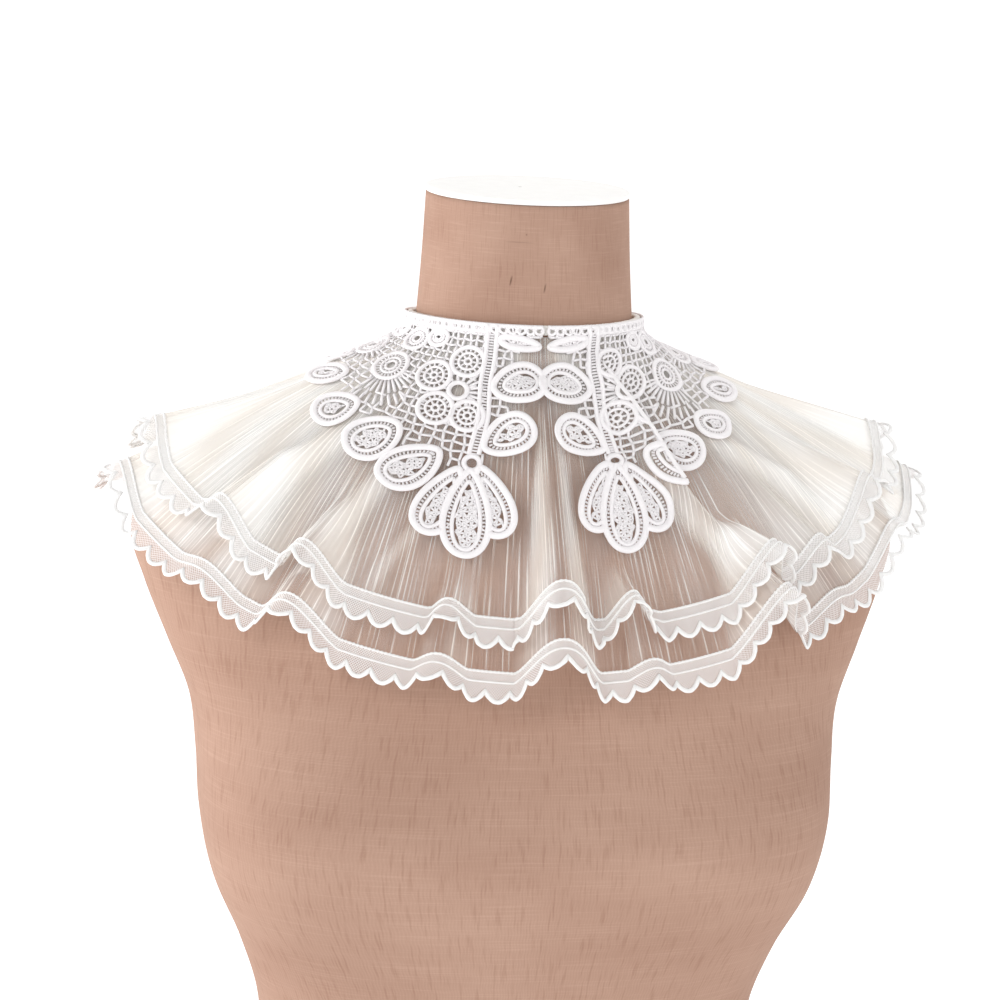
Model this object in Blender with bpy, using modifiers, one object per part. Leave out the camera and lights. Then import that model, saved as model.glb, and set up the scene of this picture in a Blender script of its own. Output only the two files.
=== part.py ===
"""False collar of crinkled chiffon and corded lace, worn on a limbless dress form.

The collar hangs from a narrow neckband. Two tiers of pleated chiffon radiate from
it, the longer one underneath, each with a scalloped lace trim along its hem. Two
mirrored lace halves lie over the upper tier. Every cloth piece is placed by two
numbers: the angle round the neck, zero at the centre front and positive towards
+X, and the reach, the distance down the cloth from the neckband.

Metres, +Z up, the wearer's front towards -Y. The origin is the centre of the
form's flat base.
"""

import math
from collections import namedtuple

import bmesh
import bpy
import numpy as np

MM = 0.001

# Form: horizontal sections from the base to the top of the neck
FormRing = namedtuple("FormRing", "height half_width front back front_square back_square")
FORM_RINGS = (
    FormRing(0.000, 0.153, 0.110, 0.112, 2.15, 2.10),
    FormRing(0.045, 0.150, 0.108, 0.107, 2.15, 2.10),
    FormRing(0.090, 0.140, 0.102, 0.096, 2.15, 2.10),
    FormRing(0.130, 0.132, 0.097, 0.087, 2.20, 2.10),
    FormRing(0.165, 0.133, 0.099, 0.085, 2.30, 2.10),
    FormRing(0.200, 0.144, 0.109, 0.088, 2.50, 2.10),
    FormRing(0.235, 0.159, 0.123, 0.094, 2.80, 2.10),
    FormRing(0.270, 0.166, 0.130, 0.100, 2.90, 2.15),
    FormRing(0.300, 0.168, 0.125, 0.105, 2.75, 2.20),
    FormRing(0.330, 0.172, 0.118, 0.107, 2.50, 2.25),
    FormRing(0.360, 0.184, 0.111, 0.108, 2.35, 2.30),
    FormRing(0.390, 0.196, 0.104, 0.106, 2.20, 2.30),
    FormRing(0.415, 0.203, 0.096, 0.103, 2.02, 2.15),
    FormRing(0.434, 0.198, 0.088, 0.097, 1.85, 2.00),
    FormRing(0.449, 0.180, 0.081, 0.091, 1.65, 1.90),
    FormRing(0.462, 0.156, 0.075, 0.085, 1.60, 1.85),
    FormRing(0.475, 0.129, 0.070, 0.079, 1.62, 1.85),
    FormRing(0.486, 0.103, 0.066, 0.072, 1.75, 1.90),
    FormRing(0.496, 0.080, 0.062, 0.065, 1.95, 1.95),
    FormRing(0.506, 0.0640, 0.0588, 0.0590, 2.00, 2.00),
    FormRing(0.516, 0.0575, 0.0572, 0.0572, 2.00, 2.00),
    FormRing(0.526, 0.0568, 0.0568, 0.0568, 2.00, 2.00),
    FormRing(0.560, 0.0545, 0.0545, 0.0545, 2.00, 2.00),
    FormRing(0.593, 0.0530, 0.0530, 0.0530, 2.00, 2.00),
)
FORM_COLUMNS = 36
CAP_RADIUS = 0.0535
CAP_HEIGHT = 0.0030
CAP_ROUNDING = 0.0010
SEAM_GAP = 0.0003

# The top of the neck slants down towards the front, from just above the neckband
NECK_SLANT_DEG = 5.0
NECK_SLANT_FROM = 0.533

# Neckband and the vertical line that the cloth leaves it on
NECKLINE_HEIGHT = 0.5300
NECKLINE_DIP = 0.0010
BAND_HEIGHT = 0.0050
BAND_INNER_RADIUS = 0.0576
BAND_THICKNESS = 0.0034
BAND_COLUMNS = 49
BACK_OPENING_DEG = 1.0
SHEET_RADIUS = 0.0588
TIER_DROP = 0.0009

# Drape: the cloth's slope below the horizontal, near the neck and at the lowest hem
Drape = namedtuple("Drape", "angle start end")
DRAPE = (
    Drape(0, 62, 75),
    Drape(30, 57, 70),
    Drape(60, 38, 61),
    Drape(90, 20, 34),
    Drape(120, 33, 48),
    Drape(150, 53, 69),
    Drape(180, 57, 75),
)
NECK_SLOPE_DEG = 88.0
NECK_TURN = 0.007
INTEGRAL_STEPS = 48

# Tiers
WALL = 0.0010
TRIM_DEPTH = 0.0110
PLEATS = 64
PLEAT_DEPTH = 0.0008
PLEAT_CROWDING = 0.10
UPPER_ROWS_MM = (0, 8, 30, 60, 100, 125, 152)
LOWER_ROWS_MM = UPPER_ROWS_MM + (178,)
UPPER_REACH = UPPER_ROWS_MM[-1] * MM
LOWER_REACH = LOWER_ROWS_MM[-1] * MM
FULL_REACH = LOWER_REACH + TRIM_DEPTH
TIER_GAP_AT_NECK = 0.0016
TIER_GAP_AT_HEM = 0.0042
SIDE_FLARE = 0.005

# Folds of each tier: the crest's angle, half width and lift at the hem in mm, and
# the reach in mm where the fold starts to open
Fold = namedtuple("Fold", "angle half_width lift start")
LOWER_FOLDS = (
    Fold(-158, 8, 22, 60),
    Fold(-138, 7.5, 17, 60),
    Fold(-120, 8, 21, 60),
    Fold(-104, 6, 12, 60),
    Fold(-86, 7, 13, 70),
    Fold(-67, 6, 6, 90),
    Fold(-52, 8, 16, 104),
    Fold(-26, 7, 8, 128),
    Fold(0, 11, 21, 30),
    Fold(21, 6, 6, 122),
    Fold(45.5, 7.5, 30, 106),
    Fold(60, 6, 5, 95),
    Fold(74, 6.5, 9, 84),
    Fold(90, 7, 10, 70),
    Fold(109, 6, 11, 60),
    Fold(126, 8, 21, 60),
    Fold(143, 7, 16, 60),
    Fold(161, 8, 22, 60),
)
UPPER_FOLDS = (
    Fold(-165, 7, 10, 50),
    Fold(-148, 7, 14, 50),
    Fold(-127, 7, 12, 50),
    Fold(-108, 7, 10, 55),
    Fold(-89, 6, 7, 62),
    Fold(-68, 6, 9, 84),
    Fold(-51, 7, 8, 104),
    Fold(-24, 6, 8, 118),
    Fold(-1, 10, 6, 40),
    Fold(16, 6, 20, 117),
    Fold(46, 7, 8, 106),
    Fold(59, 6, 6, 94),
    Fold(72, 6.5, 9, 82),
    Fold(89, 6, 6, 62),
    Fold(110, 7, 8, 55),
    Fold(129, 7, 12, 50),
    Fold(149, 7, 14, 50),
    Fold(166, 7, 9, 50),
)
FOLD_GROWTH = 1.2
FOLD_NARROWEST = 0.45
FOLD_RISE = 0.85

# Trims
SCALLOPS = 66
COLUMNS_PER_SCALLOP = 3
SCALLOP_DEPTH = 0.0032
TRIM_SEAM = 0.0015

# Lace halves, in the plane of angle and reach
LACE_WALL = 0.0012
LACE_GAP_AT_NECK = 0.0026
LACE_GAP_FAR = 0.0036
LACE_TOP_REACH = -0.0056
LACE_END_DEG = 171.0
LACE_PLANE_RADIUS = 0.100
LACE_ARC_STEP = 0.015
LACE_LONGEST = 0.121
Corner = namedtuple("Corner", "angle reach")
LACE_GROUND = (
    Corner(0.6, LACE_TOP_REACH / MM),
    Corner(0.6, 5.5),
    Corner(8, 6.5),
    Corner(12.5, 13),
    Corner(12.5, 46),
    Corner(18, 60),
    Corner(21.5, 76),
    Corner(32, 80),
    Corner(44, 76),
    Corner(58, 68),
    Corner(72, 58),
    Corner(86, 46),
    Corner(100, 38),
    Corner(LACE_END_DEG, 34),
    Corner(LACE_END_DEG, LACE_TOP_REACH / MM),
)
Motif = namedtuple("Motif", "angle reach length width turn")
LACE_LEAVES = (
    Motif(11.8, 26.6, 27, 23, 105),
    Motif(15.1, 54.9, 29, 21, 125),
    Motif(17.9, 89.5, 40, 21, 24),
    Motif(24.1, 96.2, 45, 24, 5),
    Motif(30.8, 93.4, 39, 20, -15),
    Motif(37.5, 83.0, 38, 21, -60),
    Motif(49.1, 76.0, 35, 21, -55),
    Motif(64.5, 68.0, 30, 21, -45),
    Motif(78.5, 55.0, 24, 17, -62),
    Motif(92.0, 43.0, 19, 17, -75),
    Motif(105.0, 36.0, 17, 17, 0),
    Motif(118.0, 34.0, 17, 17, 0),
    Motif(131.0, 34.0, 17, 17, 0),
    Motif(144.0, 34.0, 17, 17, 0),
    Motif(157.0, 34.0, 17, 17, 0),
)
LACE_GAPS = (
    Motif(34.5, 34.0, 6.8, 6.8, 0),
    Motif(24.8, 71.0, 5.2, 5.2, 0),
    Motif(29.3, 65.0, 5.4, 4.6, 0),
    Motif(35.8, 62.0, 5.2, 4.4, 0),
    Motif(41.5, 62.5, 4.8, 4.4, 0),
    Motif(18.5, 39.5, 4.8, 4.4, 0),
    Motif(15.5, 12.5, 4.6, 4.4, 0),
    Motif(30.5, 23.0, 5.6, 4.2, 50),
    Motif(31.3, 2.0, 4.6, 4.4, 0),
    Motif(43.5, 4.0, 4.8, 4.4, 0),
    Motif(50.3, 47.0, 6.5, 4.4, -70),
    Motif(51.0, 57.0, 5.0, 4.4, -50),
    Motif(55.5, 39.5, 6.5, 4.4, -80),
    Motif(65.5, 9.5, 5.4, 5.4, 0),
    Motif(65.0, 31.0, 6.0, 6.0, 0),
    Motif(86.0, 26.0, 6.0, 6.0, 0),
    Motif(106.0, 18.0, 6.0, 6.0, 0),
    Motif(127.0, 18.0, 6.0, 6.0, 0),
    Motif(150.0, 18.0, 6.0, 6.0, 0),
)
LEAF_SIDES = 12
GAP_SIDES = 8

# Button and its loop at the centre back
BUTTON_ANGLE_DEG = 175.5
BUTTON_RADIUS = 0.0035
BUTTON_THICKNESS = 0.0018
SHANK_RADIUS = 0.0010
SHANK_LENGTH = 0.0022
LOOP_CORD = 0.0005
LOOP_RADIUS = 0.0019
LOOP_ROOT_DEG = -173.5

LINEN = ((0.62, 0.43, 0.33, 1.0), 0.85)
CAP_PAINT = ((0.86, 0.83, 0.78, 1.0), 0.55)
CHIFFON = ((0.88, 0.86, 0.82, 1.0), 0.70)
LACE = ((0.90, 0.88, 0.87, 1.0), 0.80)
BUTTON_GLOSS = ((0.88, 0.86, 0.82, 1.0), 0.35)


def clear_scene():
    for obj in list(bpy.data.objects):
        bpy.data.objects.remove(obj, do_unlink=True)


def new_collection(name):
    collection = bpy.data.collections.new(name)
    bpy.context.scene.collection.children.link(collection)
    return collection


def make_material(name, colour_and_roughness):
    colour, roughness = colour_and_roughness
    material = bpy.data.materials.new(name)
    material.use_nodes = True
    shader = material.node_tree.nodes["Principled BSDF"]
    shader.inputs["Base Color"].default_value = colour
    shader.inputs["Roughness"].default_value = roughness
    shader.inputs["Metallic"].default_value = 0.0
    return material


def add_object(name, mesh, material, collection):
    obj = bpy.data.objects.new(name, mesh)
    collection.objects.link(obj)
    if material is not None:
        mesh.materials.append(material)
        mesh.shade_smooth()
    return obj


def mesh_from_bmesh(name, bm):
    mesh = bpy.data.meshes.new(name)
    bm.to_mesh(mesh)
    bm.free()
    return mesh


def smooth_through(wanted, known_at, values):
    """A smooth curve through a table's rows, read at the wanted places."""
    known_at = np.asarray(known_at, float)
    values = np.asarray(values, float)
    tangents = np.gradient(values, known_at)
    wanted = np.clip(wanted, known_at[0], known_at[-1])
    index = np.clip(np.searchsorted(known_at, wanted) - 1, 0, len(known_at) - 2)
    step = known_at[index + 1] - known_at[index]
    t = (wanted - known_at[index]) / step
    return (
        (2 * t**3 - 3 * t**2 + 1) * values[index]
        + (t**3 - 2 * t**2 + t) * step * tangents[index]
        + (3 * t**2 - 2 * t**3) * values[index + 1]
        + (t**3 - t**2) * step * tangents[index + 1]
    )


def form_radius(angle, height):
    """Distance from the neck's axis to the form, at an angle round it and a height."""
    heights, side, *depths_and_squares = np.array(FORM_RINGS).T
    side = smooth_through(height, heights, side)
    read = [smooth_through(height, heights, column) for column in depths_and_squares]
    facing_front = np.cos(angle) > 0
    depth = np.where(facing_front, read[0], read[1])
    power = np.where(facing_front, read[2], read[3])
    total = np.abs(np.sin(angle) / side) ** power + np.abs(np.cos(angle) / depth) ** power
    return total ** (-1 / power)


def on_plan(angle, radius, height):
    """Points at an angle round the neck's axis, zero at the front."""
    return np.stack([radius * np.sin(angle), -radius * np.cos(angle), height], axis=-1)


def neck_slant(depth, height):
    """Height added where the neck slants: down at the front and up at the back."""
    top = FORM_RINGS[-1].height
    share = np.clip((height - NECK_SLANT_FROM) / (top - NECK_SLANT_FROM), 0, 1)
    return depth * share * math.tan(math.radians(NECK_SLANT_DEG))


def neckline(angle):
    """Height of the neckband's upper edge, a little lower at the front and back."""
    return NECKLINE_HEIGHT - NECKLINE_DIP * np.cos(2 * angle)


def slope_at(angle, reach):
    """The cloth's slope below the horizontal: steep at the band, then fanning out."""
    from_front = np.abs(np.degrees(angle))
    rows = [row.angle for row in DRAPE]
    start = smooth_through(from_front, rows, [row.start for row in DRAPE])
    end = smooth_through(from_front, rows, [row.end for row in DRAPE])
    down = np.maximum(reach, 0.0)
    fanned = start + (end - start) * down / FULL_REACH
    turned = (NECK_SLOPE_DEG - start) * np.exp(-down / NECK_TURN)
    return np.radians(fanned + turned)


def sheet_point(angle, reach, lift):
    """A point of the cloth: its slope summed from the band, then lifted off the form."""
    angle, reach, lift = np.broadcast_arrays(angle, reach, lift)
    shares = (np.arange(INTEGRAL_STEPS) + 0.5) / INTEGRAL_STEPS
    slopes = slope_at(angle[..., None], reach[..., None] * shares)
    radius = SHEET_RADIUS + reach * np.cos(slopes).mean(axis=-1)
    height = neckline(angle) - BAND_HEIGHT - TIER_DROP
    height = height - reach * np.sin(slopes).mean(axis=-1)
    here = slope_at(angle, reach)
    return on_plan(angle, radius + lift * np.sin(here), height + lift * np.cos(here))


def folds_lift(angle, reach, folds, full):
    """Height of a tier's arched folds, which open from their start down to the hem."""
    lift = np.zeros(np.broadcast(angle, reach).shape)
    for fold in folds:
        opened = np.clip((reach - fold.start * MM) / (full - fold.start * MM), 0, 1)
        opened = opened**FOLD_GROWTH
        share = FOLD_NARROWEST + (1 - FOLD_NARROWEST) * opened
        across = np.abs(angle - math.radians(fold.angle)) / (math.radians(fold.half_width) * share)
        arch = (1 - np.clip(across, 0, 1) ** 2) ** 2
        lift = np.maximum(lift, fold.lift * MM * opened * arch)
    return lift


def lower_sheet(angle, reach):
    """Reach and lift of the lower tier: each fold stands off and draws its hem up."""
    folds = folds_lift(angle, reach, LOWER_FOLDS, FULL_REACH)
    return reach - FOLD_RISE * folds, folds


def upper_sheet(angle, reach):
    """The upper tier rides on the lower one, with folds and a flare of its own."""
    full = UPPER_REACH + TRIM_DEPTH
    down = np.clip(reach / full, 0, None)
    gap = TIER_GAP_AT_NECK + (TIER_GAP_AT_HEM - TIER_GAP_AT_NECK) * down
    flare = SIDE_FLARE * np.sin(angle) ** 2 * down**2
    folds = folds_lift(angle, reach, LOWER_FOLDS, FULL_REACH)
    folds = folds + folds_lift(angle, reach, UPPER_FOLDS, full)
    return reach - FOLD_RISE * folds, folds + gap + flare


def lace_sheet(angle, reach):
    """The lace lies on the upper tier, clear of its pleats."""
    down = np.clip(reach / LACE_LONGEST, 0, 1)
    gap = LACE_GAP_AT_NECK + (LACE_GAP_FAR - LACE_GAP_AT_NECK) * down
    _, lift = upper_sheet(angle, np.maximum(reach, 0))
    return reach, lift + gap


def on_sheet(sheet, angle, reach, raised=0.0):
    """A point of one cloth layer, raised off its middle surface."""
    angle, reach, raised = np.broadcast_arrays(angle, reach, raised)
    drawn, lift = sheet(angle, reach)
    return sheet_point(angle, drawn, lift + raised)


def pleated_angles(count):
    """Angles round the neck, a little closer at the sides, where the cloth fans most."""
    end = math.radians(180 - BACK_OPENING_DEG)
    even = np.linspace(-end, end, count)
    return even + PLEAT_CROWDING * np.sin(2 * even) * (1 - (even / end) ** 8)


def grid_mesh(name, points):
    """An open sheet of four-sided faces through rows of points."""
    rows, columns = points.shape[:2]
    index = np.arange(rows * columns).reshape(rows, columns)
    corners = (index[:-1, :-1], index[1:, :-1], index[1:, 1:], index[:-1, 1:])
    faces = np.stack(corners, axis=-1).reshape(-1, 4)
    mesh = bpy.data.meshes.new(name)
    mesh.from_pydata(points.reshape(-1, 3).tolist(), [], faces.tolist())
    return mesh


def add_wall(obj, thickness):
    wall = obj.modifiers.new("Wall", "SOLIDIFY")
    wall.thickness = thickness
    wall.offset = 0.0
    wall.use_even_offset = True
    return obj


def build_form(material, collection):
    """The torso, shoulder stumps and neck: a loft through the table of sections."""
    angles = np.linspace(-math.pi, math.pi, FORM_COLUMNS, endpoint=False)
    bm = bmesh.new()
    loops = []
    for ring in FORM_RINGS:
        height = np.full(FORM_COLUMNS, ring.height)
        points = on_plan(angles, form_radius(angles, height), height)
        points[:, 2] += neck_slant(points[:, 1], ring.height)
        loops.append([bm.verts.new(point) for point in points])
    for below, above in zip(loops, loops[1:]):
        for k in range(FORM_COLUMNS):
            after = (k + 1) % FORM_COLUMNS
            bm.faces.new((below[k], below[after], above[after], above[k]))
    bm.faces.new(list(reversed(loops[0])))
    bm.faces.new(loops[-1])
    mesh = mesh_from_bmesh("form_body", bm)
    return add_object("form_body", mesh, material, collection)


def build_cap(material, collection):
    bm = bmesh.new()
    bmesh.ops.create_cone(
        bm,
        cap_ends=True,
        segments=FORM_COLUMNS,
        radius1=CAP_RADIUS,
        radius2=CAP_RADIUS,
        depth=CAP_HEIGHT,
    )
    for vert in bm.verts:
        vert.co.z += neck_slant(vert.co.y, FORM_RINGS[-1].height)
    cap = add_object("neck_cap", mesh_from_bmesh("neck_cap", bm), material, collection)
    cap.location.z = FORM_RINGS[-1].height + SEAM_GAP + CAP_HEIGHT / 2
    rounding = cap.modifiers.new("Rounding", "BEVEL")
    rounding.width = CAP_ROUNDING
    rounding.segments = 1
    rounding.limit_method = "ANGLE"
    return cap


def build_neckband(material, collection):
    end = math.radians(180 - BACK_OPENING_DEG)
    angles = np.linspace(-end, end, BAND_COLUMNS)
    radius = BAND_INNER_RADIUS + BAND_THICKNESS / 2
    top = on_plan(angles, radius, neckline(angles))
    bottom = on_plan(angles, radius, neckline(angles) - BAND_HEIGHT)
    mesh = grid_mesh("neckband", np.stack([top, bottom]))
    return add_wall(add_object("neckband", mesh, material, collection), BAND_THICKNESS)


def pleat_ridges():
    """Height of the pleats: ridges and hollows of alternate columns."""
    return PLEAT_DEPTH / 2 * np.where(np.arange(2 * PLEATS) % 2, 1.0, -1.0)


def build_tier(name, sheet, rows_mm, material, collection):
    """A pleated tier, from the neckband down to its trim."""
    angles = pleated_angles(2 * PLEATS)
    reaches = np.array(rows_mm)[:, None] * MM
    points = on_sheet(sheet, angles[None, :], reaches, pleat_ridges())
    mesh = grid_mesh(name, points)
    return add_wall(add_object(name, mesh, material, collection), WALL)


def build_trim(name, sheet, reach, material, collection):
    """A strip of lace edging along a hem's own columns, its lower edge in scallops."""
    angles = pleated_angles(2 * PLEATS)
    reaches = np.array([[reach + TRIM_SEAM], [reach + TRIM_DEPTH]])
    coarse = on_sheet(sheet, angles[None, :], reaches, pleat_ridges())
    places = np.linspace(0, len(angles) - 1, SCALLOPS * COLUMNS_PER_SCALLOP + 1)
    before = np.minimum(places.astype(int), len(angles) - 2)
    share = (places - before)[None, :, None]
    top, bottom = coarse[:, before] * (1 - share) + coarse[:, before + 1] * share
    notch = (np.arange(len(places)) % COLUMNS_PER_SCALLOP == 0)[:, None]
    bottom = bottom + (top - bottom) * notch * SCALLOP_DEPTH / (TRIM_DEPTH - TRIM_SEAM)
    mesh = grid_mesh(name, np.stack([top, bottom]))
    return add_wall(add_object(name, mesh, material, collection), WALL)


def in_plane(angle_deg, reach_mm):
    """Place in the flat plane of the lace: arc at a fixed radius, and reach."""
    return np.array([math.radians(angle_deg) * LACE_PLANE_RADIUS, reach_mm * MM])


def motif_outline(motif, sides):
    """An oval whose size on the draped cloth is the motif's own length and width."""
    centre = in_plane(motif.angle, motif.reach)
    middle = sheet_point(np.radians(motif.angle), motif.reach * MM, 0.0)
    stretch = LACE_PLANE_RADIUS / math.hypot(middle[0], middle[1])
    turn = math.radians(motif.turn)
    round_it = np.linspace(0, 2 * math.pi, sides, endpoint=False)
    along = motif.length / 2 * MM * np.cos(round_it)
    across = motif.width / 2 * MM * np.sin(round_it)
    arc = along * math.sin(turn) * -1 + across * math.cos(turn)
    reach = along * math.cos(turn) + across * math.sin(turn)
    return centre + np.stack([arc * stretch, reach], axis=-1)


def add_prism(name, outline, half_height, collection):
    """A flat outline drawn up into a prism, for joining and cutting."""
    area = np.sum(outline[:, 0] * np.roll(outline[:, 1], -1))
    area -= np.sum(np.roll(outline[:, 0], -1) * outline[:, 1])
    if area < 0:
        outline = outline[::-1]
    bm = bmesh.new()
    bottom = [bm.verts.new((x, y, -half_height)) for x, y in outline]
    top = [bm.verts.new((x, y, half_height)) for x, y in outline]
    bm.faces.new(list(reversed(bottom)))
    bm.faces.new(top)
    for k in range(len(outline)):
        after = (k + 1) % len(outline)
        bm.faces.new((bottom[k], bottom[after], top[after], top[k]))
    obj = add_object(name, mesh_from_bmesh(name, bm), None, collection)
    obj.hide_render = True
    obj.display_type = "WIRE"
    return obj


def add_boolean(obj, operation, other=None, group=None):
    cut = obj.modifiers.new(operation.title(), "BOOLEAN")
    cut.operation = operation
    cut.solver = "EXACT"
    if group is None:
        cut.object = other
    else:
        cut.operand_type = "COLLECTION"
        cut.collection = group


def flat_lace(cutters):
    """The lace half laid flat: ground and leaves joined, gaps cut, then gridded."""
    leaves = bpy.data.collections.new("lace_leaves")
    gaps = bpy.data.collections.new("lace_gaps")
    cutters.children.link(leaves)
    cutters.children.link(gaps)
    ground = np.array([in_plane(row.angle, row.reach) for row in LACE_GROUND])
    outline = add_prism("lace_ground", ground, 10 * MM, cutters)
    for k, leaf in enumerate(LACE_LEAVES):
        add_prism(f"leaf_{k}", motif_outline(leaf, LEAF_SIDES), (11 + k) * MM, leaves)
    add_boolean(outline, "UNION", group=leaves)
    for k, gap in enumerate(LACE_GAPS):
        add_prism(f"gap_{k}", motif_outline(gap, GAP_SIDES), (8 + k) * MM, gaps)
    margin = 0.02
    arc_end = math.radians(LACE_END_DEG) * LACE_PLANE_RADIUS
    low = np.array([-margin, LACE_TOP_REACH - margin])
    high = np.array([arc_end + margin, LACE_LONGEST + margin])
    sheet = np.array([low, (high[0], low[1]), high, (low[0], high[1])])
    plate = add_prism("lace_plate", sheet, LACE_WALL / 2, cutters)
    add_boolean(plate, "INTERSECT", other=outline)
    add_boolean(plate, "DIFFERENCE", group=gaps)
    bpy.context.view_layer.update()
    graph = bpy.context.evaluated_depsgraph_get()
    flat = bpy.data.meshes.new_from_object(plate.evaluated_get(graph))
    bm = bmesh.new()
    bm.from_mesh(flat)
    cuts = [((place, 0, 0), (1, 0, 0)) for place in np.arange(low[0], high[0], LACE_ARC_STEP)]
    cuts += [((0, row * MM, 0), (0, 1, 0)) for row in UPPER_ROWS_MM[:-1]]
    for spot, normal in cuts:
        everything = bm.verts[:] + bm.edges[:] + bm.faces[:]
        bmesh.ops.bisect_plane(bm, geom=everything, plane_co=spot, plane_no=normal, dist=1e-5)
    bmesh.ops.dissolve_degenerate(bm, edges=bm.edges[:], dist=1e-5)
    bmesh.ops.triangulate(bm, faces=bm.faces[:])
    bm.to_mesh(flat)
    bm.free()
    return flat


def build_lace(name, side, flat, material, collection):
    """One lace half bent onto the upper tier; side is -1 on the left and 1 on the right."""
    mesh = flat.copy()
    mesh.name = name
    points = np.empty(len(mesh.vertices) * 3)
    mesh.vertices.foreach_get("co", points)
    points = points.reshape(-1, 3)
    angle = side * points[:, 0] / LACE_PLANE_RADIUS
    reach = points[:, 1]
    bent = on_sheet(lace_sheet, angle, reach, points[:, 2])
    mesh.vertices.foreach_set("co", bent.ravel())
    bm = bmesh.new()
    bm.from_mesh(mesh)
    bmesh.ops.recalc_face_normals(bm, faces=bm.faces[:])
    bm.to_mesh(mesh)
    bm.free()
    mesh.materials.clear()
    return add_object(name, mesh, material, collection)


def build_button(material, collection):
    """A small turned button on a shank, its back on the neckband's outer face."""
    face = SHANK_LENGTH + BUTTON_THICKNESS
    edge = BUTTON_THICKNESS * 0.3
    profile = (
        (0.0, face),
        (BUTTON_RADIUS - edge, face),
        (BUTTON_RADIUS, face - edge),
        (BUTTON_RADIUS, SHANK_LENGTH + edge),
        (BUTTON_RADIUS - edge, SHANK_LENGTH),
        (SHANK_RADIUS, SHANK_LENGTH),
        (SHANK_RADIUS, 0.0),
        (0.0, 0.0),
    )
    mesh = bpy.data.meshes.new("button")
    edges = [(k, k + 1) for k in range(len(profile) - 1)]
    mesh.from_pydata([(x, 0, z) for x, z in profile], edges, [])
    button = add_object("button", mesh, material, collection)
    screw = button.modifiers.new("Turn", "SCREW")
    screw.steps = screw.render_steps = 16
    screw.use_merge_vertices = True
    screw.merge_threshold = 0.00005
    angle = math.radians(BUTTON_ANGLE_DEG)
    radius = BAND_INNER_RADIUS + BAND_THICKNESS + SEAM_GAP
    middle = float(neckline(angle)) - BAND_HEIGHT / 2
    button.location = on_plan(angle, radius, middle)
    button.rotation_euler = (math.pi / 2, 0, angle)
    return button


def build_loop(material, collection):
    """A thread loop that leaves the other end of the band and passes round the shank."""
    radius = BAND_INNER_RADIUS + BAND_THICKNESS + SEAM_GAP + LOOP_CORD
    button = math.radians(BUTTON_ANGLE_DEG)
    root = math.radians(LOOP_ROOT_DEG) + 2 * math.pi
    straight = np.linspace(root, button, 6)
    bend = np.radians(np.linspace(90, -90, 9))
    arcs = np.concatenate([straight, button - np.cos(bend[1:-1]) * LOOP_RADIUS / radius, straight[::-1]])
    rises = np.concatenate(
        [
            np.full(len(straight), LOOP_RADIUS),
            LOOP_RADIUS * np.sin(bend[1:-1]),
            np.full(len(straight), -LOOP_RADIUS),
        ]
    )
    points = on_plan(arcs, radius, neckline(arcs) - BAND_HEIGHT / 2 + rises)
    curve = bpy.data.curves.new("button_loop", "CURVE")
    curve.dimensions = "3D"
    spline = curve.splines.new("POLY")
    spline.points.add(len(points) - 1)
    for point, spot in zip(spline.points, points):
        point.co = (*spot, 1.0)
    curve.bevel_depth = LOOP_CORD
    curve.bevel_resolution = 1
    curve.use_fill_caps = True
    curve.materials.append(material)
    obj = bpy.data.objects.new("button_loop", curve)
    collection.objects.link(obj)
    return obj


def main():
    clear_scene()
    collection = new_collection("false_collar_on_form")
    cutters = new_collection("cutters")
    linen = make_material("linen", LINEN)
    paint = make_material("cap_paint", CAP_PAINT)
    chiffon = make_material("chiffon", CHIFFON)
    lace = make_material("lace", LACE)
    gloss = make_material("button_gloss", BUTTON_GLOSS)
    build_form(linen, collection)
    build_cap(paint, collection)
    build_neckband(chiffon, collection)
    build_tier("tier_lower", lower_sheet, LOWER_ROWS_MM, chiffon, collection)
    build_tier("tier_upper", upper_sheet, UPPER_ROWS_MM, chiffon, collection)
    build_trim("trim_lower", lower_sheet, LOWER_REACH, lace, collection)
    build_trim("trim_upper", upper_sheet, UPPER_REACH, lace, collection)
    flat = flat_lace(cutters)
    build_lace("lace_left", -1, flat, lace, collection)
    build_lace("lace_right", 1, flat, lace, collection)
    bpy.data.meshes.remove(flat)
    build_button(gloss, collection)
    build_loop(lace, collection)


main()
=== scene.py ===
"""Looks of a false collar on a dress form, laid out as an add-on and run as a script.

Every cloth piece is placed by two numbers: the angle round the neck, zero at the
centre front and positive towards +X, and the reach, the distance down the cloth
from the neckband. Metres, +Z up, the wearer's front towards -Y.
"""

import math
from collections import namedtuple

import bmesh
import bpy
import numpy as np
from bpy.props import FloatProperty, FloatVectorProperty, IntProperty, PointerProperty
from mathutils import Matrix, Vector


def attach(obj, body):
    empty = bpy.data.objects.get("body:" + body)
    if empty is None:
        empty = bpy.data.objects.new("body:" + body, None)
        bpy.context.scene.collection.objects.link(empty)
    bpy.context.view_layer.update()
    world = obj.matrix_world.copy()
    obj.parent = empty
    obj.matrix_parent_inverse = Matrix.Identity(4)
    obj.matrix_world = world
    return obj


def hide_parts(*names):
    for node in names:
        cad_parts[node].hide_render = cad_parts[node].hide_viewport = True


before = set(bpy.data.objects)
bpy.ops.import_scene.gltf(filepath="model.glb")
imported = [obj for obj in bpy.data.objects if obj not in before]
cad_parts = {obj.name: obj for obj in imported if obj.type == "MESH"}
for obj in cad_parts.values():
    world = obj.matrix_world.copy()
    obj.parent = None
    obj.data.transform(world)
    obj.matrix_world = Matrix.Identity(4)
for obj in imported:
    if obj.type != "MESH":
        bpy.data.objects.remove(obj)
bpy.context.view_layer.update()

bl_info = {
    "name": "False Collar",
    "version": (1, 0, 0),
    "blender": (4, 5, 0),
    "location": "3D View > Sidebar > False Collar",
    "description": "Builds a sheer layered false collar with corded lace on a dress form",
    "category": "Object",
}

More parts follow.
